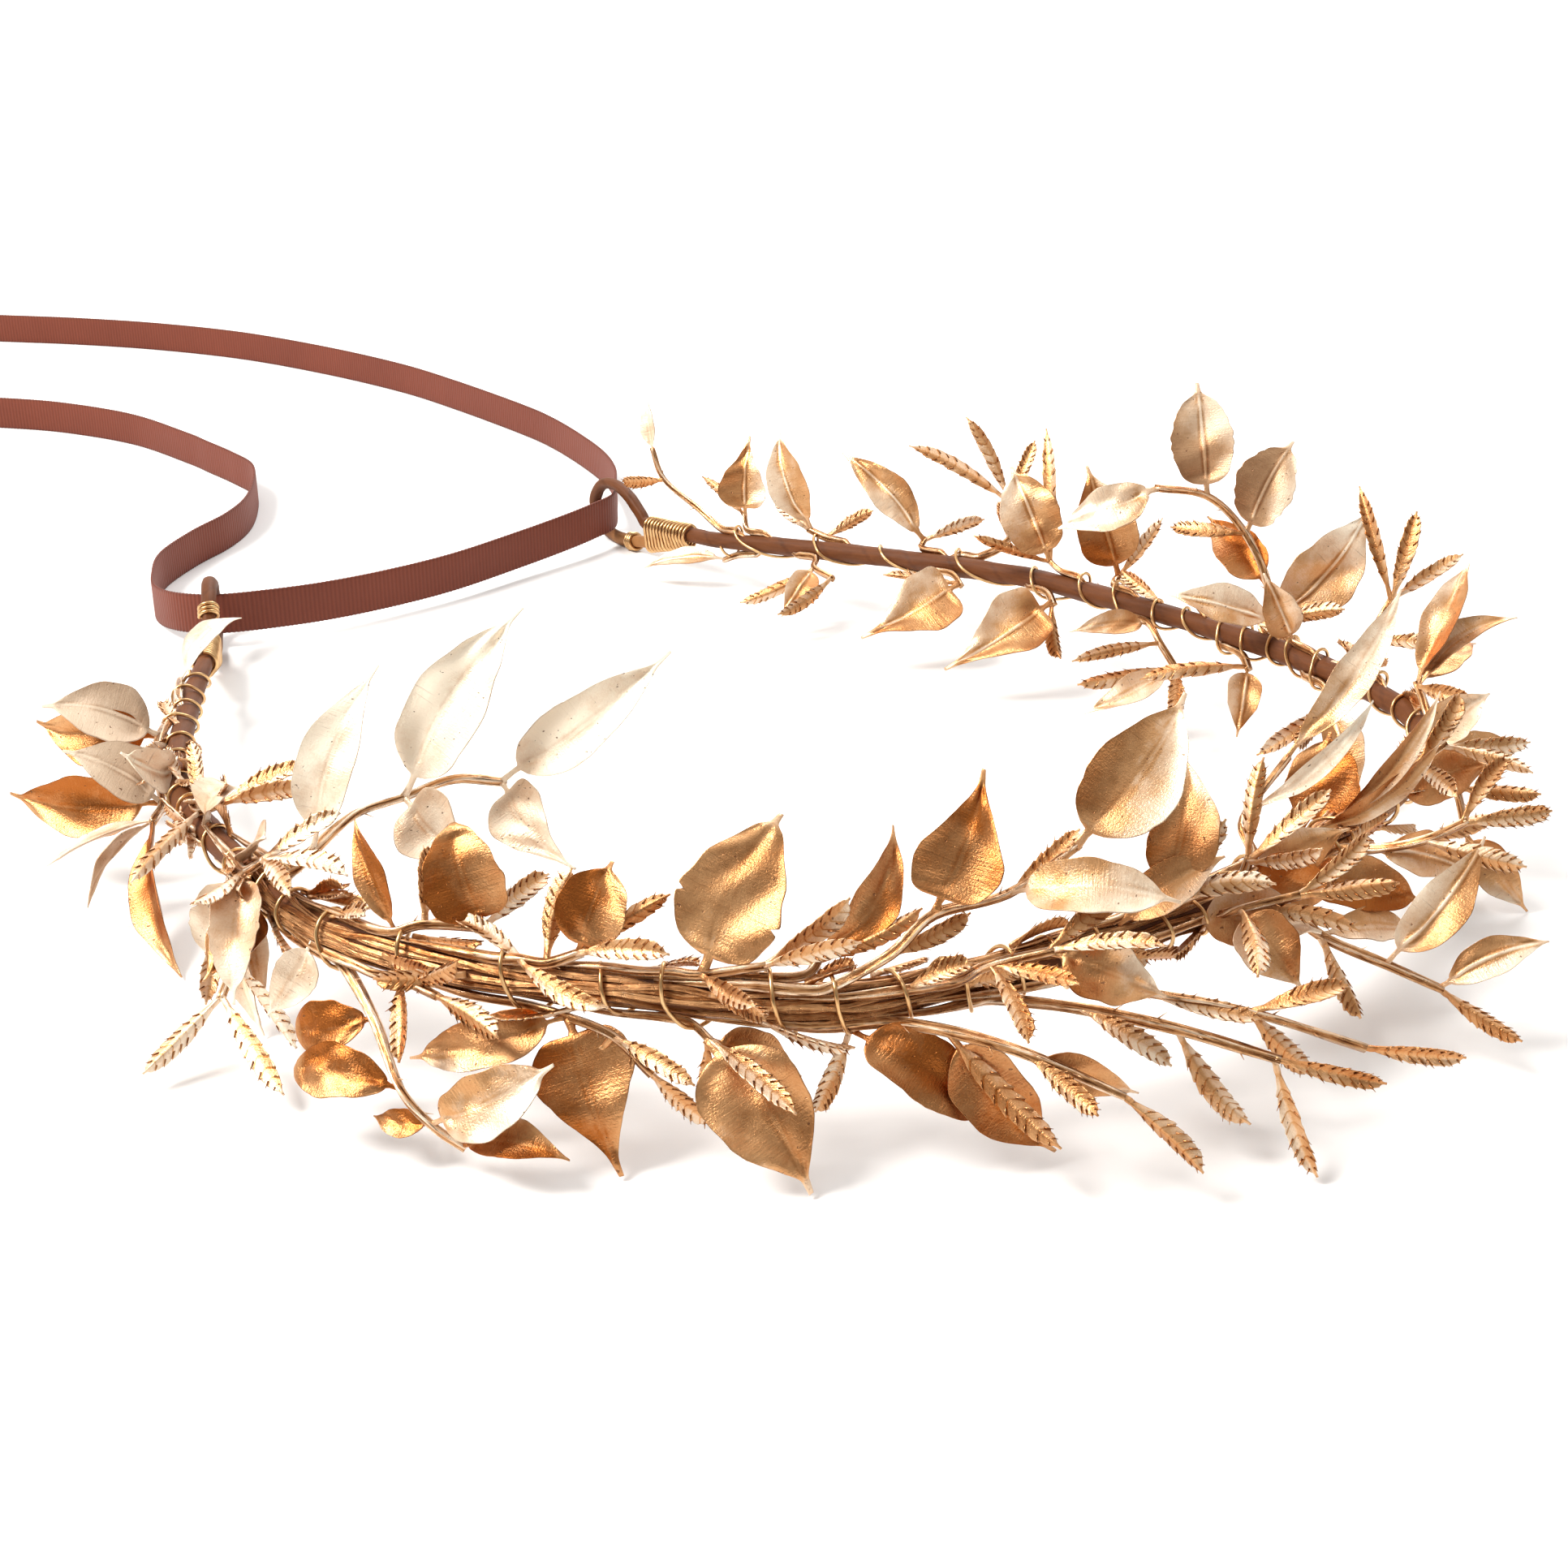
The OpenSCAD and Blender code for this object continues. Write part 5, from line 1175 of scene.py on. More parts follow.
# %% Edge of a leaf
LEAN = 0.09  # how much wider one half may be
WAVER = 0.035
WAVERS = (2, 4)  # waves along a rim
BITES = 24  # small bites along a rim, and how deep they go
BITE_WORN = 0.035
BITE_TORN = 0.13
NICK_AT = 0.37
NICK_WIDE = 0.013
NICK_DEEP = 0.15
NICK_ROOM = 0.045
NICK_STATIONS = NICK_AT + np.array([-0.034, -0.02, -0.01, 0.0, 0.01, 0.02, 0.034])
NICKED_U = np.sort(np.concatenate([LEAF_U[np.abs(LEAF_U - NICK_AT) > NICK_ROOM], NICK_STATIONS]))


def leaf_edge(rng, u, outline, half, blade):
    """How far a leaf reaches to each side, without its nick and with it"""
    edge = np.abs(LEAF_V)
    lean = rng.uniform(-LEAN, LEAN)
    waver = 1 + WAVER * np.sin(2 * np.pi * (u * rng.uniform(*WAVERS) + rng.uniform())) * edge
    bites = np.interp(u, np.linspace(0, 1, BITES), rng.uniform(0, 1, BITES) ** 2)
    nibble = 1 - (BITE_TORN if outline == "torn" else BITE_WORN) * edge ** 3 * bites * blade
    broad = half * outline_at(outline, u) * (1 + lean * LEAF_V) * waver * nibble
    deep = NICK_DEEP if outline == "nicked" else 0
    return broad, broad * (1 - deep * edge ** 8 * np.exp(-((u - NICK_AT) / NICK_WIDE) ** 2))


print("a nicked leaf has", len(NICKED_U), "stations")

# %% Gold of a leaf
# Painted shade: each leaf's gold deepens towards one side, at a slope of its own. Towards the stalk it
# deepens partly from pooled paint and partly as painted shade.
SLOPE_SHADE_ALONG = 0.45
SLOPE_SHADE_ACROSS = 0.28
POOL_AND_SHADE = 0.22  # how much deeper the gold gets from spine to stalk
SPINE_PALE = 0.25
# Painted highlight and shade: a rib is painted paler, and the gold beside it deeper.
RIB_HIGHLIGHT_SHADE = 0.35  # a rib is paler by this much, and the gold beside it is deeper
BESIDE_RIB = 0.34
BESIDE_WIDE = 0.13
BACK_DULL = 0.7


def leaf_gold(rng, u, across, line, blade, tone, veined):
    """How deep and how dull the gold is on both faces of a leaf, with its painted shade and highlight"""
    slope = rng.uniform(0, 2 * math.pi)
    # painted shade towards one side of the leaf, and partly towards its stalk
    fade = SLOPE_SHADE_ALONG * math.cos(slope) * (u - 0.5) + SLOPE_SHADE_ACROSS * math.sin(slope) * LEAF_V
    fade = fade * blade * ease(tone, 0.1, 0.5)
    pool = POOL_AND_SHADE * (0.4 - u) * blade - SPINE_PALE * ease(u, 0.86, 0.95) + fade
    # painted shade beside the rib, and a painted highlight along it
    beside = RIB_HIGHLIGHT_SHADE * np.exp(-((np.abs(across) - BESIDE_RIB) / BESIDE_WIDE) ** 2) * blade
    ribbed = beside - RIB_HIGHLIGHT_SHADE * line
    over = tone + pool + (ribbed if veined else 0.4 * beside)
    under = tone + 0.08 + pool * 0.5 + (0 if veined else ribbed)
    dull = max(0.0, 2 * veined - 1) + 0 * across
    return np.clip(both_faces(over, under), 0, 1), both_faces(dull, BACK_DULL * (1 - dull))


print("the gold is deeper by", POOL_AND_SHADE, "at a stalk than at a spine")

# %% One leaf
STALK_END = (0.12, 0.20)
SPINE_START = (0.93, 0.84)
STALK_THICK = 0.12
NOTCH = 0.12  # how far the base's two lobes reach back beside the stalk
TWIST = 0.35
CRUMPLES = (0.032, 0.026, 0.016, 0.010)
WAVES_ALONG = (0.8, 3.2)
WAVES_ACROSS = (-1.1, 1.1)
CUP = 0.27
CUP_VARIES = (0.8, 1.2)
CUP_VEINED, CUP_SMOOTH = 1.25, 1.9  # the higher, the more the cup keeps to the rims
OWN_NUMBER = (0, 50)  # each blade draws one, so that no two have the same stains
LEAF_THIN = 0.15
RIB_HIGH = 0.24
RIB_SUNK = -0.03
RIB_WIDE = 0.20


def add_leaf(shell, rng, base, d, row):
    """Adds one leaf from its base along d; row is the leaf's row in SPRAYS"""
    wide, look, rise, bend, outline, tone, veined, curl, cup = row[4:]
    length, along, side, top = blade_frame(d, facing(look, rise))
    u = (NICKED_U if outline == "nicked" else LEAF_U)[:, None]
    v = LEAF_V
    edge = np.abs(v)
    half = wide * LEAF_W / 2
    blade = ease(u, *STALK_END) * ease(u, *SPINE_START)
    broad, reach = leaf_edge(rng, u, outline, half, blade)
    across = reach * v
    twist = rng.uniform(-TWIST, TWIST) * (u - 0.3)
    crumple = 0
    for size in CRUMPLES:
        wave = u * rng.uniform(*WAVES_ALONG) + v * rng.uniform(*WAVES_ACROSS) + rng.uniform()
        crumple = crumple + size * half * np.sin(2 * np.pi * wave)
    cupped = broad * edge ** (CUP_VEINED if veined else CUP_SMOOTH)
    lift = CUP * rng.uniform(*CUP_VARIES) * cup * cupped + crumple * blade
    back = NOTCH * half * edge ** 1.5 * ease(u, 0.42, 0.13) * ease(u, 0.10, 0.14)
    flat = across * np.cos(twist) - lift * np.sin(twist) + bowed(u, length, curl) * ease(u, 0, 0.3)
    high = across * np.sin(twist) + lift * np.cos(twist) + bowed(u, length, bend)
    middle = base + along * (length * u - back)[..., None] + side * flat[..., None] + top * high[..., None]
    stalk = np.minimum(reach, STALK_THICK * half) * np.sqrt(1.03 - v * v) * 0.85
    thick = LEAF_THIN * (1 - 0.35 * edge ** 3) * blade + stalk * (1 - blade)
    line = np.exp(-(across / RIB_WIDE) ** 2) * blade * (1 - 0.6 * u)
    rib_over, rib_under = (RIB_HIGH, RIB_SUNK) if veined else (RIB_SUNK, RIB_HIGH)
    upper = middle + top * (thick + line * rib_over)[..., None]
    lower = middle - top * (thick + line * rib_under)[..., None]
    place = places(length * u, both_faces(v, v) * blade, rng.uniform(*OWN_NUMBER))
    tones, dull = leaf_gold(rng, u, across, line, blade, tone, veined)
    shell.add(both_faces(upper, lower), place, tones, dull, finish=0)


print("a leaf has", (len(LEAF_U) - 1) * 2 * LEAF_V.size, "quads")

# %% [markdown]
# A sprig is a slim blade, folded along its rib, with eight uneven teeth a side that
# point forwards. Every tooth carries a fine needle, raised above the blade, whose tip
# stands out past the edge. The blade's rows are swept forwards from the rib to the
# edge, so that a ridge along one row is a slanted rib, like those of the real sprig.

# %% Teeth of a sprig
TEETH = 8
TOOTH_AT = np.array([0.0, 0.13, 0.50, 0.84, 0.93])
TOOTH_OUT = np.array([0.0, 0.25, 0.65, 1.0, 0.85])
TOOTH_HIGH = np.array([-0.02, 0.0, 0.0, 0.02, 0.01])
# Painted shadow and highlight along each tooth: a dark line where it starts, beside the needle, and paler
# gold on its raised point.
TOOTH_SHADOW_HIGHLIGHT = np.array([0.95, 0.05, -0.04, -0.12, 0.10])
STALK_U = [0, 0.05, 0.09]
TIP_U = [0.945, 0.975, 1.0]
BLADE_FROM = 0.13
BLADE_TO = 0.94
LAST_TOOTH = 0.91
TOOTH_LENGTHS = (0.7, 1.3)
TOOTH_STRENGTHS = (0.35, 1.15)


def tooth_stations(rng):
    """Shares of the length where a sprig has rings: five to a tooth, and no two teeth alike"""
    starts = np.concatenate([[0], np.cumsum(rng.uniform(*TOOTH_LENGTHS, TEETH))])
    starts = starts / starts[-1]
    steps = (starts[:-1, None] + np.diff(starts)[:, None] * TOOTH_AT).reshape(-1)
    return np.concatenate([STALK_U, BLADE_FROM + (LAST_TOOTH - BLADE_FROM) * steps, TIP_U])[:, None]


def tooth_by_tooth(rng, values):
    """One tooth's values repeated along the sprig, on each tooth with a strength of its own"""
    strong = values * rng.uniform(*TOOTH_STRENGTHS, TEETH)[:, None]
    return np.concatenate([0 * np.array(STALK_U), strong.reshape(-1), 0 * np.array(TIP_U)])[:, None]


print("a sprig has", TEETH, "teeth a side, each with a needle")

# %% Needles of a sprig
MIDDLE_TO_RIM = ((2, 0), (5, -1))  # columns of a ring, on either side of the rib
PEAK = len(STALK_U) + int(np.argmax(TOOTH_OUT))
NEEDLE_FOOT = 0.02  # how far above the blade a needle starts
NEEDLE_RISE = 0.05
NEEDLE_UP = (0.0, 0.12)
NEEDLE_AHEAD = (0.0, 0.20)
NEEDLE_PAST = (0.05, 0.45)  # how far past the rim it ends
# Painted shade: a needle's gold is deeper than its blade's, standing for the thin shadow beside it.
NEEDLE_SHADE = (0.3, 0.7)
NEEDLES_KEPT = 0.85
NARROW = 0.4  # where the blade is narrower than this share it has no needles


def note_needles(needles, rng, upper, top, along, shape, tone):
    """Notes a needle for most teeth, from half way across the blade to past its rim"""
    for i in range(PEAK, len(upper) - len(TIP_U), len(TOOTH_AT)):
        for column, rim_column in MIDDLE_TO_RIM:
            start = upper[i, column] + top * NEEDLE_FOOT
            tip = upper[i, rim_column] + top * NEEDLE_RISE
            aim = unit(tip - start) + top * rng.uniform(*NEEDLE_UP) + along * rng.uniform(*NEEDLE_AHEAD)
            span = np.linalg.norm(tip - start) + rng.uniform(*NEEDLE_PAST)
            if rng.uniform() < NEEDLES_KEPT and shape[i, 0] > NARROW:
                # the needle is painted deeper than its blade, as the shadow beside it
                depth = np.clip(tone + rng.uniform(*NEEDLE_SHADE), 0, 1)
                needles.append((start, unit(aim), span, depth))


print("needles start on every tooth, at ring", PEAK, "and every", len(TOOTH_AT), "after it")

# %% One sprig
SPRIG_HALF_V = np.array([1, 0.84, 0.5, 0.17])
SPRIG_V = np.concatenate([SPRIG_HALF_V, -SPRIG_HALF_V[::-1]])[None, :]
SPRIG_SHAPE = np.array([
    (-1, 0.20), (0, 0.26), (0.10, 0.68), (0.28, 0.95), (0.55, 1.0), (0.78, 0.84), (0.92, 0.50), (1.03, 0.10)])
ROLL = 0.6
SPRIG_BEND = (-0.05, 0.08)
SPRIG_CURL = (-0.07, 0.07)
SPRIG_WIDTHS = (0.78, 0.98)
TOOTH_DEEP = 0.13
RAGGED = 0.14
SWEEP = 0.85  # how far the rows slant forwards, in half widths
FOLD = 0.5
FOLD_VARIES = (0.5, 1.4)
FOLDED_UP = 0.65  # share of the sprigs whose rims stand above the rib
SPRIG_THIN = 0.12
SPRIG_RIB = 0.26
ROUGH = 0.05
HALF_SHADE = 0.12  # how much deeper one half is, and how much paler the other
RIB_SHADE = 0.12
BACK_SHADE = 0.15
SPRIG_TONES = (-0.15, 0.15)
SPRIG_PATTERN = 0.12  # how much of a leaf's pattern there is across a sprig


def add_sprig(shell, needles, rng, base, d, turned, tone):
    """Adds one sprig and notes where its needles go"""
    length, along, side, top = blade_frame(d, turned)
    roll = rng.uniform(-ROLL, ROLL)
    side, top = side * math.cos(roll) + top * math.sin(roll), top * math.cos(roll) - side * math.sin(roll)
    bend = rng.uniform(*SPRIG_BEND)
    curl = rng.uniform(*SPRIG_CURL)
    half = SPRIG_W / 2 * rng.uniform(*SPRIG_WIDTHS)
    u = tooth_stations(rng)
    v = SPRIG_V
    edge = np.abs(v)
    saw, high, tooth_shading = (tooth_by_tooth(rng, values) for values in (TOOTH_OUT, TOOTH_HIGH, TOOTH_SHADOW_HIGHLIGHT))
    share = (u - BLADE_FROM) / (BLADE_TO - BLADE_FROM)
    shape = np.interp(share, SPRIG_SHAPE[:, 0], SPRIG_SHAPE[:, 1])
    blade = ease(share, -0.04, 0.08) * ease(share, 1.05, 0.97)
    ragged = 1 - RAGGED * rng.uniform(0, 1, (len(u), 1))
    reach = half * shape * (1 - blade * edge ** 3 * TOOTH_DEEP * (1 - saw)) * ragged
    forward = SWEEP * half * shape * edge * blade
    fold = FOLD * rng.uniform(*FOLD_VARIES) * (1 if rng.uniform() < FOLDED_UP else -1)
    crumple = ROUGH * rng.uniform(-1, 1, (len(u), v.size)) * blade * edge
    lift = fold * reach * edge + bowed(u, length, bend) + crumple
    aside = reach * v * (1 - 0.3 * abs(fold) * blade) + bowed(u, length, curl)
    ahead = np.minimum(length * u + forward, length)
    middle = base + along * ahead[..., None] + side * aside[..., None] + top * lift[..., None]
    rod = reach * np.sqrt(1.04 - v * v)
    rib = SPRIG_RIB * np.exp(-(v / 0.25) ** 2) * (1 - 0.4 * u)
    thick = (SPRIG_THIN * (1 - 0.4 * edge ** 2) + rib) * blade + rod * (1 - blade)
    raised = high * blade * (0.3 + edge)
    upper = middle + top * (thick + raised)[..., None]
    lower = middle - top * (thick - raised * 0.5)[..., None]
    place = places(length * u, both_faces(v, v) * SPRIG_PATTERN, rng.uniform(*OWN_NUMBER))
    # painted shade and highlight: the tooth lines, deeper gold along the rib, one half of the fold deeper and
    # the other paler, and a deeper back
    shade = tone + tooth_shading * blade * (0.3 + 0.7 * edge) + rng.uniform(*SPRIG_TONES) + RIB_SHADE * (1 - edge)
    half_shade = HALF_SHADE * np.sign(fold * v) * blade
    tones = both_faces(shade + half_shade, shade + BACK_SHADE - half_shade)
    shell.add(both_faces(upper, lower), place, np.clip(tones, 0, 1), 0.0, finish=0)
    note_needles(needles, rng, upper, top, along, shape, tone)


print("a sprig has", (len(STALK_U) + TEETH * len(TOOTH_AT) + len(TIP_U) - 1) * 2 * SPRIG_V.size, "quads")

# %% [markdown]
# Stems are flattened, grooved twigs a little over a millimetre thick, with small
# scars where needles fell. They follow the solid's stem on a smooth curve, and their
# section has ridges that drift slowly around them.

# %% One stem
STEM_SIDES = 18
STEM_STEPS = 7
RUN_IN_BUNDLE = 15
RUN_IN_BARE = 3
RUN_IN_PARTS = (1, 0.66, 0.33)
RUN_IN_TURN = 12  # degrees that a stem winds round the wire before its foot
FLUTES = 0.15
FLUTE_DRIFT = 40
RIDGE_DRIFT = 60
KNOTS = 0.07
TAPERED = 0.25
# Painted shade: the gold is deeper in the hollows between a stem's flutes and paler on their ridges.
FLUTE_SHADE = 0.35
SCAR_EVERY = 4.5
SCAR_SPANS = (0.7, 1.5)


def run_in(row):
    """Points where a stem lies along the wire before its foot, from its thin sunk end"""
    share, slot = row[1], row[2]
    reach = RUN_IN_BUNDLE if BUNDLE[0] < share < BUNDLE[1] else RUN_IN_BARE
    points = []
    for part in RUN_IN_PARTS:
        at = share - way_of(row) * (FOOT_L * STEM_D + part * reach) / hoop_len
        spoke = spoke_at(at, slot + RUN_IN_TURN * part)
        points.append(hoop_at(at) + spoke * (under_at(share) + (REST + STEM_D / 2) * (1 - 1.7 * part)))
    return points, reach


def add_stem(shell, needles, rng, row):
    """Adds a spray's stem and gives the points that its leaves and sprigs grow from"""
    tail, points, spoke = stem_points(row)
    last = points[-1] + unit(points[-1] - points[-2]) * STEM_OVER * STEM_D
    before, reach = run_in(row)
    line = smooth_line(before + [tail] + points[:-1] + [last], STEM_STEPS)
    run = run_of(line)
    far = run[:, None]
    angle = np.arange(STEM_SIDES)[None] / STEM_SIDES
    phase = rng.uniform(0, 1, 3)
    flutes = np.cos(2 * np.pi * (4 * angle + phase[0] + far / FLUTE_DRIFT))
    ridges = FLUTES * flutes + FLUTES * np.cos(2 * np.pi * (2 * angle + phase[1] + far / RIDGE_DRIFT))
    knots = KNOTS * np.sin(far / 1.7 + phase[2] * 6) * np.sin(far / 3.1)
    thinned = 0.35 + 0.65 * ease(far, 0, reach)
    radii = STEM_D / 2 * (1.04 - TAPERED * far / run[-1]) * (1 + ridges + knots) * thinned
    # the tone paints the flute hollows deeper, as shade
    shell.add(
        tube(line, np.repeat(spoke[None], len(line), axis=0), radii, STEM_SIDES),
        ring_places(run, STEM_SIDES), np.clip(row[4] + 0.18 - FLUTE_SHADE * flutes, 0, 1), 0.0, finish=1)
    for where in np.arange(reach + 6, run[-1] - 2, SCAR_EVERY) + rng.uniform(-1, 1):
        here = pick(line, run, np.array([where]))[0]
        ahead = unit(pick(line, run, np.array([where + 1]))[0] - here)
        across = unit(np.cross(ahead, rng.normal(size=3)))
        aim = unit(ahead * 0.9 + across)
        needles.append((here + across * STEM_D * 0.32, aim, rng.uniform(*SCAR_SPANS), row[4]))
    return points


print("stems have", STEM_SIDES, "sides and a scar every", SCAR_EVERY, "mm or so")

# %% All the sprays
FIRST_SEED = 1000
needles = []
for number, row in enumerate(SPRAYS):
    name, share, _, turn, tone, _, leaves, sprigs = row
    rng = np.random.default_rng(FIRST_SEED + number)
    shell = Shell()
    points = add_stem(shell, needles, rng, row)
    for leaf in leaves:
        add_leaf(shell, rng, points[leaf[0]], in_frame(share, leaf[1:4]) * LEAF_L, leaf)
    for sprig in sprigs:
        d = in_frame(share, sprig[1:4]) * SPRIG_L
        add_sprig(shell, needles, rng, points[sprig[0]], d, facing(*turn), tone)
    spray = shell.piece(name + "_gilded", [gilded_leaf.material, gilded_bark.material])
    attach(spray, "root")
    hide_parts(name)
print("made", len(SPRAYS), "sprays and noted", len(needles), "needles")

# %% [markdown]
# Between the sprays, short sprigs and small worn leaves lie along the wire, held only
# by its winding, and cover the feet of the sprays. The sprigs are drawn at random
# along a few stretches, always from the same seed, and the leaves are typed, because
# each of them fills one bare place.

# %% Sprigs that lie along the wire
# (from share, to share, how many)
LYING = [
    (0.11, 0.15, 6), (0.15, 0.27, 21), (0.28, 0.45, 14), (0.46, 0.60, 20), (0.60, 0.68, 8),
    (0.69, 0.78, 5),
]
SCATTER = 0.006
SLOTS = (-60, 150)
BACKWARDS = 0.3  # share of the sprigs that point back along the hoop
ASIDE = (-0.45, 0.45)
RAISED = (0.10, 0.45)
LYING_SIZES = (0.45, 0.85)
SUNK = 0.9  # how far their feet sink under the winding
PALE_UNTIL = 0.26
PALE_TONE = 0.26
LYING_TONE = 0.42
LYING_SEED = 412
# (share, slot, along, out, up, wide, look, rise, bend, outline, tone, veined, curl, cup)
LYING_LEAVES = [
    (0.160, 70, 0.25, 0.30, 0.25, 0.6, 235, 40, 0.10, "torn", 0.14, 0.5, 0.10, 2.0),
    (0.235, -20, 0.06, 0.28, -0.42, 0.8, 235, 35, 0.10, "torn", 0.12, 0.4, 0.10, 2.2),
    (0.235, 0, 0.30, 0.04, -0.72, 0.45, 245, 10, 0.04, "lance", 0.26, 0, 0.0, 1.0),
    (0.277, -20, -0.14, 0.25, -0.40, 0.55, 235, 30, 0.06, "ovate", 0.16, 0, 0.05, 1.0),
    (0.205, 95, 0.45, -0.10, 0.35, 0.5, 235, 40, 0.12, "torn", 0.22, 0, 0.10, 2.2),
    (0.235, 100, 0.50, 0.05, 0.32, 0.6, 240, 50, 0.05, "ovate", 0.20, 0, 0.05, 1.0),
    (0.250, -10, 0.30, 0.45, -0.25, 0.7, 240, 40, 0.05, "ovate", 0.70, 0, 0.05, 1.0),
    (0.475, 80, 0.62, 0.10, 0.30, 0.6, 235, 40, 0.05, "lance", 0.62, 0, 0.05, 1.0),
    (0.495, 10, 0.55, 0.45, -0.05, 0.8, 235, 40, 0.05, "ovate", 0.40, 0, 0.05, 1.0),
    (0.515, 40, 0.66, 0.20, 0.22, 0.6, 235, 35, 0.05, "ovate", 0.60, 0, 0.05, 1.0),
    (0.535, -20, 0.55, 0.50, -0.15, 0.7, 235, 40, 0.05, "round", 0.85, 0, 0.05, 1.0),
    (0.545, 100, 1.15, 0.22, 0.32, 0.32, 225, 20, 0.06, "lance", 0.62, 0, -0.06, 2.0),
    (0.552, 70, 1.15, 0.08, 0.55, 0.30, 220, 20, 0.06, "lance", 0.55, 0, -0.05, 2.0),
    (0.585, 30, 0.60, 0.40, 0.10, 0.7, 235, 35, 0.05, "ovate", 0.75, 0, 0.05, 1.0),
    (0.610, 60, 0.62, 0.25, 0.30, 0.6, 225, 35, 0.05, "lance", 0.35, 0, 0.05, 1.6),
]
shell = Shell()
rng = np.random.default_rng(LYING_SEED)
for start, end, count in LYING:
    for share in np.linspace(start, end, count) + rng.uniform(-SCATTER, SCATTER, count):
        slot = rng.uniform(*SLOTS)
        base, spoke = foot_of(share, slot)
        across = np.cross(along_at(share), spoke)
        way = rng.choice([-1, 1], p=[BACKWARDS, 1 - BACKWARDS])
        d = along_at(share) * way + across * rng.uniform(*ASIDE)
        d = unit(d + spoke * rng.uniform(*RAISED)) * rng.uniform(*LYING_SIZES) * SPRIG_L
        tone = PALE_TONE if share < PALE_UNTIL else LYING_TONE
        add_sprig(shell, needles, rng, base - spoke * SUNK, d, spoke, tone)
for share, slot, *leaf in LYING_LEAVES:
    base, spoke = foot_of(share, slot)
    d = in_frame(share, leaf[:3]) * LEAF_L
    add_leaf(shell, rng, base - spoke * SUNK, d, [0] + leaf)
tied_sprigs = shell.piece("tied_sprigs", [gilded_leaf.material, gilded_bark.material])
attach(tied_sprigs, "root")
print("sprigs along the wire:", sum(row[2] for row in LYING))

# %% [markdown]
# The needles of all the sprigs are one repeated thing: a slim spike, set on a point
# and turned along its own direction. A tree instances a five-sided cone on the cloud
# of points and stretches it to each needle's length.

# %% Needle tree
NEEDLE_R = 0.12
NEEDLE_TIP = 0.22  # a needle's tip, as a share of its root
NEEDLE_SIDES = 5


def needle_tree():
    """Sets a slim cone on each guide point, turned and stretched as the point says"""
    tree = Tree("set_needles", {"Needle Radius": "NodeSocketFloat", "Needle Sides": "NodeSocketInt"})
    root = tree.given("Needle Radius")
    spike = tree.node(
        "GeometryNodeMeshCone", {},
        {"Vertices": tree.given("Needle Sides"), "Side Segments": 1, "Fill Segments": 1,
         "Radius Top": root * NEEDLE_TIP, "Radius Bottom": root, "Depth": MM})
    turn = tree.node(
        "FunctionNodeAlignRotationToVector", {"axis": "Z"}, {"Vector": tree.named("aim")})
    stretch = tree.node("ShaderNodeCombineXYZ", {}, {0: 1.0, 1: 1.0, 2: tree.named("span", "FLOAT")})
    set_out = tree.node(
        "GeometryNodeInstanceOnPoints", {},
        {"Points": tree.given("Geometry"), "Instance": spike, "Rotation": turn, "Scale": stretch})
    return tree.finished(set_out)


starts, aims, spans, tones = (np.array(values) for values in zip(*needles))
sprig_needles = grow(
    "sprig_needles", needle_tree(), starts, None, {"aim": aims, "span": spans, "tone": tones},
    {"Needle Radius": NEEDLE_R * MM, "Needle Sides": NEEDLE_SIDES, "Material": gilded_bark.material})
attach(sprig_needles, "root")
print("needles:", len(sprig_needles.data.polygons), "faces")

# %% [markdown]
# At the front the wire disappears inside a bundle of grooved stems that lie side by
# side, twisted a little. Each strand is the hoop's line moved out to its own slot, so
# a tree copies the guide once for each strand, turns the copies apart, lets each
# wander, and sweeps a ridged section along it.

# %% Bundle tree
STRAND_SIDES = 14
STRAND_RIDGES = 4
RIDGE_HIGH = 0.16
WANDER_ALONG = 9.0  # how often a strand wanders over the bundle's length
WANDER_APART = 3.7  # how far apart the strands' ways lie in the noise
WANDER_OUT = 0.35
PALEST_STRAND = 0.64
TONE_STEP = 0.37  # how far the tone moves on from one strand to the next
RIDGES_FROM = 0.92  # the section's mean radius, as a share of the strand's


def bundle_tree():
    """Lays copies of the guide side by side around it, and makes strands of them"""
    sizes = ("Lay Radius", "Strand Radius", "Twist", "Wander", "From", "Spread")
    tree = Tree("lay_strands", {"Strands": "NodeSocketInt", **{size: "NodeSocketFloat" for size in sizes}})
    curve = tree.node("GeometryNodeMeshToCurve", {}, {"Mesh": tree.given("Geometry")})
    copies = tree.node(
        "GeometryNodeDuplicateElements", {"domain": "SPLINE"},
        {"Geometry": curve, "Amount": tree.given("Strands")})
    kept = tree.stored(copies, "strand", copies.twin("Duplicate Index"), "FLOAT", "CURVE")
    strand = tree.named("strand", "FLOAT")
    share = tree.node("GeometryNodeSplineParameter")
    kept = tree.stored(kept, "along", share.twin("Length"))
    spot = tree.node("ShaderNodeCombineXYZ", {}, {0: share * WANDER_ALONG, 1: strand * WANDER_APART, 2: 0.0})
    wave = tree.node(
        "ShaderNodeTexNoise", {"noise_dimensions": "2D"}, {"Vector": spot, "Scale": 1.0, "Detail": 2.0})
    angle = strand * tree.given("Spread") / tree.given("Strands") + tree.given("From")
    angle = angle + share * tree.given("Twist") + wave.around(tree.given("Wander"))
    radius = tree.given("Lay Radius") * (1 + wave.around(WANDER_OUT))
    outward = tree.vector("SCALE", tree.named("across"), scale=angle.cosine() * radius)
    upward = tree.vector("SCALE", tree.named("rise"), scale=angle.sine() * radius)
    laid = tree.node(
        "GeometryNodeSetPosition", {}, {"Geometry": kept, "Offset": tree.vector("ADD", outward, upward)})
    return tree.finished(toned_strands(tree, laid, strand))


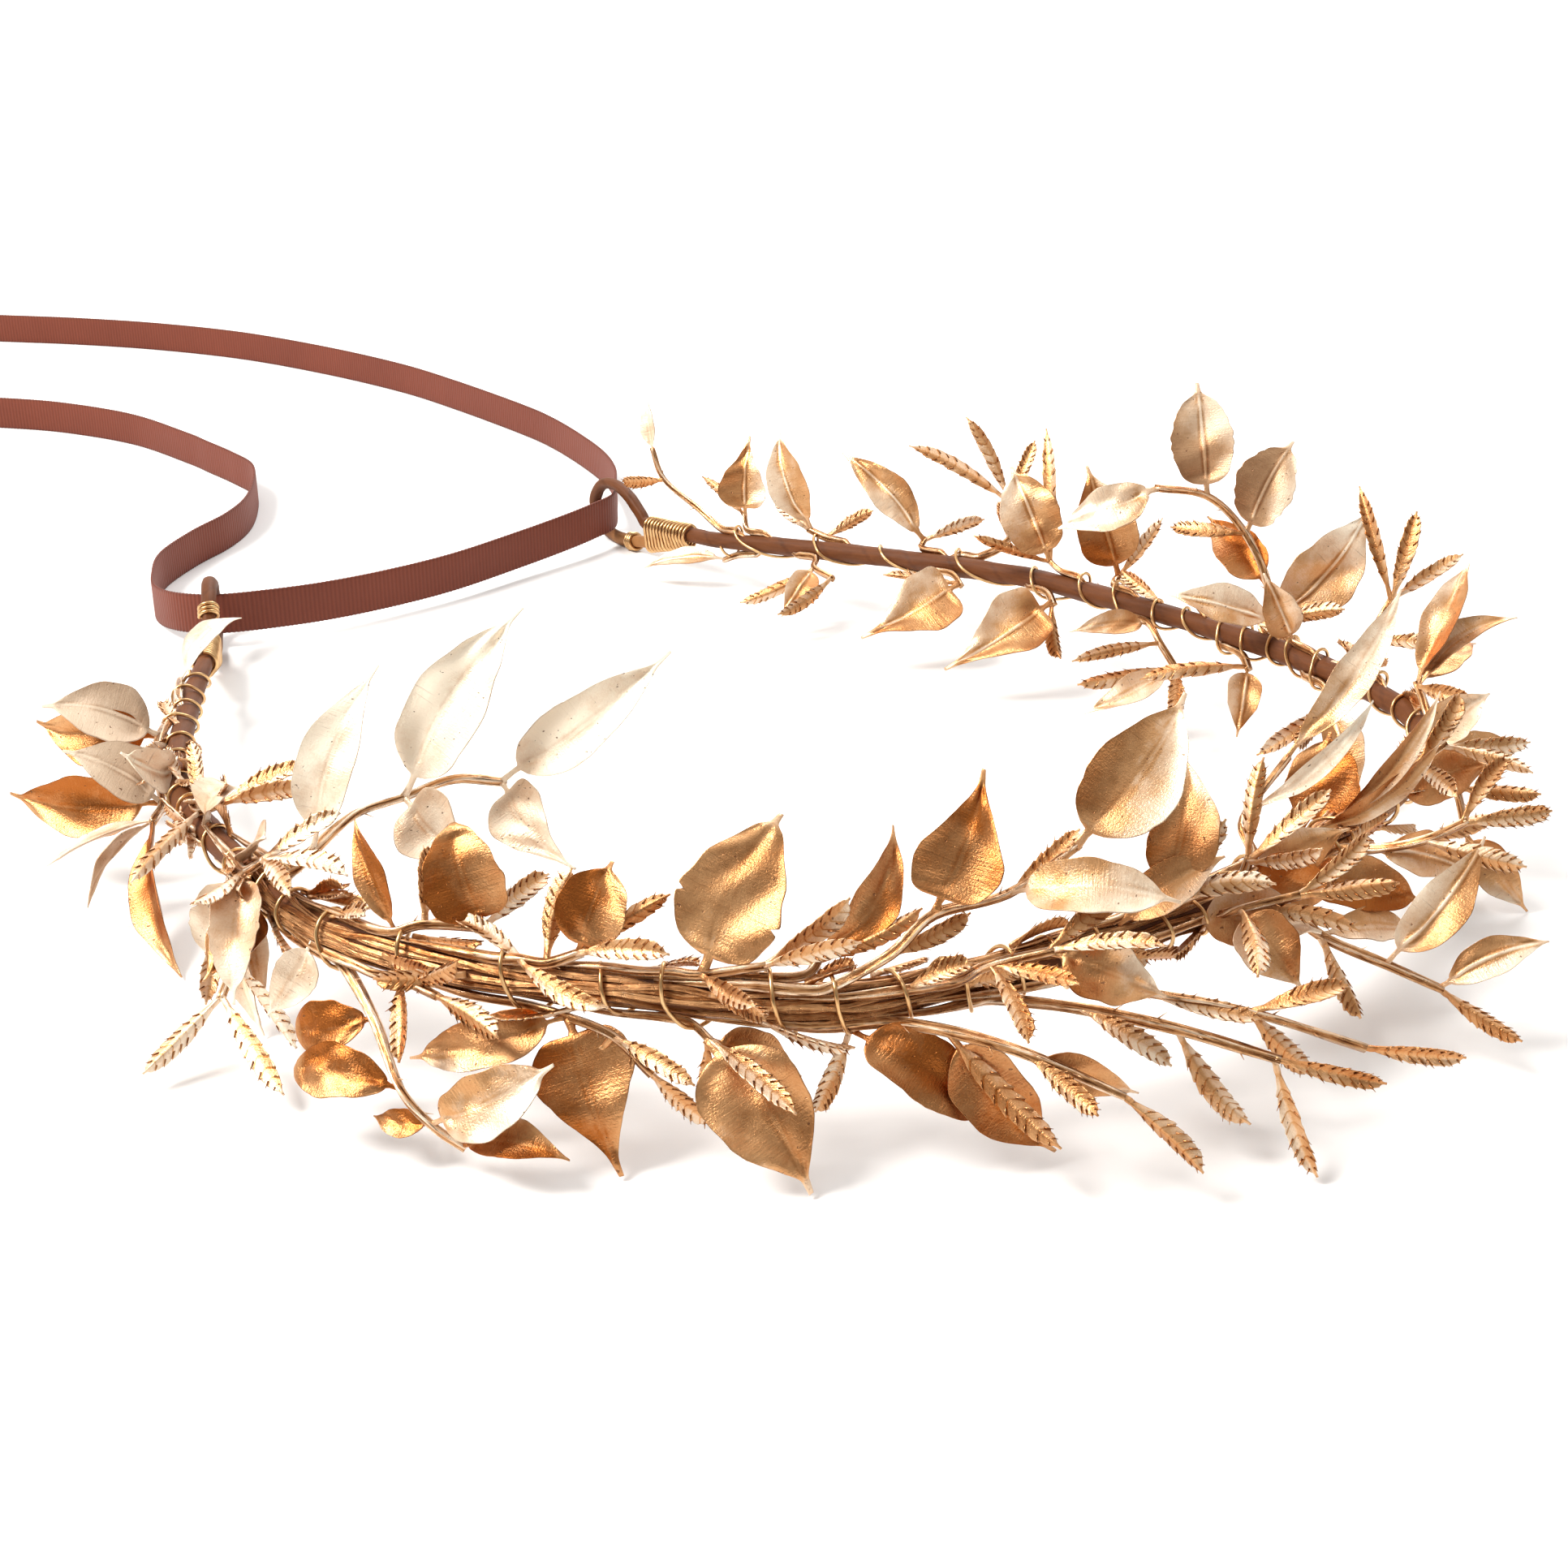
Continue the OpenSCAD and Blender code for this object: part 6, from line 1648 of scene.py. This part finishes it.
def toned_strands(tree, laid, strand):
    """Sweeps a ridged section along the laid strands and stores what the bark reads"""
    circle = tree.node(
        "GeometryNodeCurvePrimitiveCircle", {},
        {"Resolution": STRAND_SIDES, "Radius": tree.given("Strand Radius")})
    around = tree.node("GeometryNodeSplineParameter")
    marked = tree.stored(circle, "around", around)
    ridge = (around * (2 * math.pi * STRAND_RIDGES)).cosine()
    swell = RIDGES_FROM + ridge * RIDGE_HIGH
    spot = tree.vector("SCALE", tree.node("GeometryNodeInputPosition"), scale=swell)
    section = tree.node("GeometryNodeSetPosition", {}, {"Geometry": marked, "Position": spot})
    swept = tree.node(
        "GeometryNodeCurveToMesh", {}, {"Curve": laid, "Profile Curve": section, "Fill Caps": True})
    place = tree.node(
        "ShaderNodeCombineXYZ", {},
        {0: tree.named("along", "FLOAT") * (1 / MM), 1: tree.named("around", "FLOAT"), 2: strand})
    placed = tree.stored(swept, "place", place, "FLOAT_VECTOR")
    tone = PALEST_STRAND + (strand * TONE_STEP).fraction() * (1 - PALEST_STRAND)
    return tree.stored(placed, "tone", tone)


lay_strands = bundle_tree()
print("a strand has", STRAND_SIDES, "sides and", STRAND_RIDGES, "ridges")

# %% Stem bundle
STRANDS = 15
STRAND_R = 0.46
LAY_IN = 0.25  # how far the strands lie inside the bundle's outline
BUNDLE_STATIONS = 240
BUNDLE_OPEN = 2.0  # where the first strand lies, and how far round the others go, in radians
BUNDLE_SPREAD = 6.0
BUNDLE_TWIST = -0.6
BUNDLE_WANDER = 2.2
bundle_share = np.linspace(BUNDLE[0], BUNDLE[1], BUNDLE_STATIONS)
bundle_out, bundle_up = smooth_frame(bundle_share)
stem_bundle = grow(
    "ribbed_stems", lay_strands, wire_at(bundle_share), np.ones(len(bundle_share)),
    {"across": bundle_out, "rise": bundle_up},
    {"Strands": STRANDS, "Lay Radius": (BUNDLE_D / 2 - STRAND_R - LAY_IN) * MM,
     "Strand Radius": STRAND_R * MM, "From": BUNDLE_OPEN, "Spread": BUNDLE_SPREAD,
     "Twist": BUNDLE_TWIST, "Wander": BUNDLE_WANDER, "Material": gilded_bark.material})
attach(stem_bundle, "root")
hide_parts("stem_bundle")
print("bundle:", STRANDS, "strands,", len(stem_bundle.data.polygons), "faces")

# %% [markdown]
# Fine brass wire ties everything down in long open turns. Where a stem's foot lies on
# the hoop the wire has to climb over it, so each guide point looks up how far out the
# feet near it reach.

# %% Binding wire
OVER_FOOT = 4.5  # how near to a foot's middle the wire starts to climb
FOOT_MIDDLE = 2
HURRY = 0.75  # how much faster the wire moves on where it runs hidden below
WIRE_SIDES = 7
WINDING_SEED = 77
UNEVEN = (0.6, 1.4)
MANY_TURNS = 200
BITE = 0.05  # how far the wire bites into the bundle
SMOOTHED = np.array([1, 2, 3, 4, 3, 2, 1]) / 16


def reach_at(share, angle):
    """How far from the hoop's middle the wire runs: over the tape, the bundle and any foot"""
    reach = BUNDLE_D / 2 - BITE if BUNDLE[0] < share < BUNDLE[1] else CORE_D / 2
    for row in SPRAYS:
        near = abs((row[1] - share) * way_of(row) * hoop_len - FOOT_MIDDLE)
        gap = abs((math.radians(row[2]) - angle + math.pi) % (2 * math.pi) - math.pi)
        under = under_at(row[1])
        spread = (STEM_D + 0.5) / under
        if near < OVER_FOOT and gap < spread:
            hump = math.cos(gap / spread * math.pi / 2) * (1 - (near / OVER_FOOT) ** 4)
            reach = max(reach, under + (STEM_D + REST) * hump)
    return reach + WIRE_R


pitch_share, pitch = zip(*TURNS)
share, angle, winding = TURNS[0][0], 0.0, []
uneven = np.random.default_rng(WINDING_SEED).uniform(*UNEVEN, MANY_TURNS)
while share < TURNS[-1][0]:
    winding.append((share, angle))
    angle -= 2 * math.pi / TURN_POINTS
    hidden = 1 - HURRY * math.sin(angle + 0.6)
    advance = np.interp(share, pitch_share, pitch) * hidden * uneven[int(-angle / 2 / math.pi)]
    share += advance / TURN_POINTS / hoop_len
reach = np.array([reach_at(share, angle) for share, angle in winding])
reach = np.convolve(np.pad(reach, len(SMOOTHED) // 2, mode="edge"), SMOOTHED, mode="valid")
wind_share, wind_angle = np.array(winding).T
wind_out, wind_up = smooth_frame(wind_share)
spokes = wind_out * np.cos(wind_angle)[:, None] + wind_up * np.sin(wind_angle)[:, None]
binding = grow(
    "binding_wire", wind_wire, wire_at(wind_share), np.ones(len(winding)),
    {"spoke": spokes * reach[:, None] * MM},
    {"Wire Radius": WIRE_R * MM, "Wire Sides": WIRE_SIDES, "Material": brass_wire.material})
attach(binding, "root")
print("binding wire:", round(-wind_angle[-1] / 2 / math.pi), "turns,", len(binding.data.polygons), "faces")

# %% [markdown]
# At each neck a thicker wire is wound closely around the hoop and the end of its
# loop, in a coil that narrows towards the leaves. The wire follows the outline around
# both: the outermost point of the two round wires in each direction.

# %% Neck coils
COIL_WIRE_R = 0.31
COIL_PITCH = 1.02
COIL_START = 0.3
COIL_POINTS = 36  # guide points to a turn
COIL_SIDES = 9
LEG_TURNS = 3
LEG_PITCH = 0.72
LEG_POINTS = 24


def coil_guide(share_from, way, rng):
    """Points of a coil's wire around the two wires at a neck, from the loop inwards"""
    turns = COIL_L / COIL_PITCH
    t = np.linspace(0, 1, int(turns * COIL_POINTS))
    waver = np.interp(t, np.linspace(0, 1, 9), rng.uniform(-0.12, 0.12, 9))
    share = share_from - way * (COIL_START + t * COIL_L + waver) / hoop_len
    points = []
    for s, a, at in zip(share, -2 * np.pi * turns * t, t):
        core, up = hoop_at(s), up_at(s)
        spoke = out_at(s) * math.cos(a) + up * math.sin(a)
        drop = TAIL_DROP * LOOP_H / 2 * (1 - 0.68 * at)
        middles = [(core, LOOP_D / 2 + 0.12 + 0.22 * at), (core - up * drop, LOOP_D / 2 - 0.35 * at)]
        far = max(middles, key=lambda m: m[0] @ spoke + m[1])
        points.append(far[0] + spoke * (far[1] + COIL_WIRE_R))
    return np.array(points)


def leg_guide(start, way):
    """Points of a few turns around one leg of a loop, from a distance along the core's line"""
    t = np.linspace(0, 1, LEG_TURNS * LEG_POINTS)
    run = start + way * t * LEG_TURNS * LEG_PITCH
    middle = pick(core_line, core_run, run)
    side = unit(pick(row_side, row_run, run))
    rise = np.cross(travel_of(middle), side)
    angle = 2 * np.pi * LEG_TURNS * t[:, None]
    return middle + (side * np.cos(angle) + rise * np.sin(angle)) * (LOOP_D / 2 + COIL_WIRE_R)


left_leg = row_run[len(left_rows) - 1] - 1.5
right_leg = row_run[len(left_rows) + len(coarse_line) + 7]
for name, share, way, seed, leg in (
        ("neck_coil_left", 0, -1, 5, left_leg), ("neck_coil_right", 1, 1, 6, right_leg)):
    path = coil_guide(share, way, np.random.default_rng(seed))
    band = leg_guide(leg, way)
    joined = np.ones(len(path) + len(band))
    joined[len(path) - 1] = 0
    path = np.concatenate([path, band])
    coil = grow(
        name + "_wire", wind_wire, path, joined, {"spoke": 0 * path},
        {"Wire Radius": COIL_WIRE_R * MM, "Wire Sides": COIL_SIDES, "Material": brass_wire.material})
    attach(coil, "root")
    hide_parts(name)
    print(name, "has", len(coil.data.polygons), "faces")

# %% [markdown]
# The crown lies on a pale table under soft light, as for a shop picture. A large lamp
# from the upper left gives the leaves their pale side, and a weaker one fills from the
# right. A metal shows what is around it, so the sky is darker behind the camera, with
# a dark card low down there, which gives the gilded leaves something to show.

# %% Table
TABLE_HALF = 4.0
TABLE_CORNERS = [(-1, -1), (1, -1), (1, 1), (-1, 1)]
table_mesh = bpy.data.meshes.new("table_top")
table_mesh.from_pydata([(x * TABLE_HALF, y * TABLE_HALF, 0) for x, y in TABLE_CORNERS], [], [(0, 1, 2, 3)])
table_paint = Finish("table_paint", Specular_IOR_Level=0.2)
table_cloud = table_paint.noise(table_paint.millimetres(), 0.004, 2.0)
table_paint.paint(
    Base_Color=table_paint.mix(table_cloud, (0.86, 0.85, 0.84, 1), (0.90, 0.895, 0.885, 1)), Roughness=0.8)
table_mesh.materials.append(table_paint.material)
table_top = put("table_top", table_mesh)
print("table:", 2 * TABLE_HALF, "m wide")

# %% Lamps and sky
CROWN_MIDDLE = np.array([0, 0, 0.02])
LIGHT_FROM = (0.45, 0.62, 0.64)
SKY_COLOUR = (1, 0.985, 0.965, 1)


def soft_lamp(name, place, size, power, colour=(1, 1, 1)):
    """A large square lamp that looks at the crown"""
    data = bpy.data.lights.new(name, "AREA")
    data.size = size
    data.energy = power
    data.color = colour
    lamp = put(name, data)
    lamp.location = place
    aim = CROWN_MIDDLE - np.array(place)
    lamp.rotation_euler = (math.atan2(math.hypot(aim[0], aim[1]), -aim[2]), 0, math.atan2(-aim[0], aim[1]))


soft_lamp("key_lamp", (-0.75, 0.25, 1.0), 0.45, 20, (1, 0.98, 0.95))
soft_lamp("fill_lamp", (0.8, 0.7, 0.9), 0.6, 9)
sky = bpy.data.worlds.new("studio")
sky.use_nodes = True
bpy.context.scene.world = sky
sky_nodes = Nodes(sky.node_tree)
direction = sky_nodes.node("ShaderNodeTexCoord", {}, {}, "Generated")
toward = sky_nodes.node(
    "ShaderNodeVectorMath", {"operation": "DOT_PRODUCT"}, {0: direction, 1: LIGHT_FROM}, "Value")
height = sky_nodes.node("ShaderNodeSeparateXYZ", {}, {0: direction}, "Z")
card = height.step(-0.05, 0.06) * height.step(0.50, 0.22) * toward.step(0.35, -0.15)
glow = (toward.step(-0.6, 0.75) * 0.66 + 0.30) * (1 - card * 0.70)
background = sky.node_tree.nodes["Background"]
background.inputs["Color"].default_value = SKY_COLOUR
sky_nodes.join(glow, background.inputs["Strength"])
bpy.context.scene.view_settings.view_transform = "Standard"
print("two lamps, and a sky that is darker behind the camera")
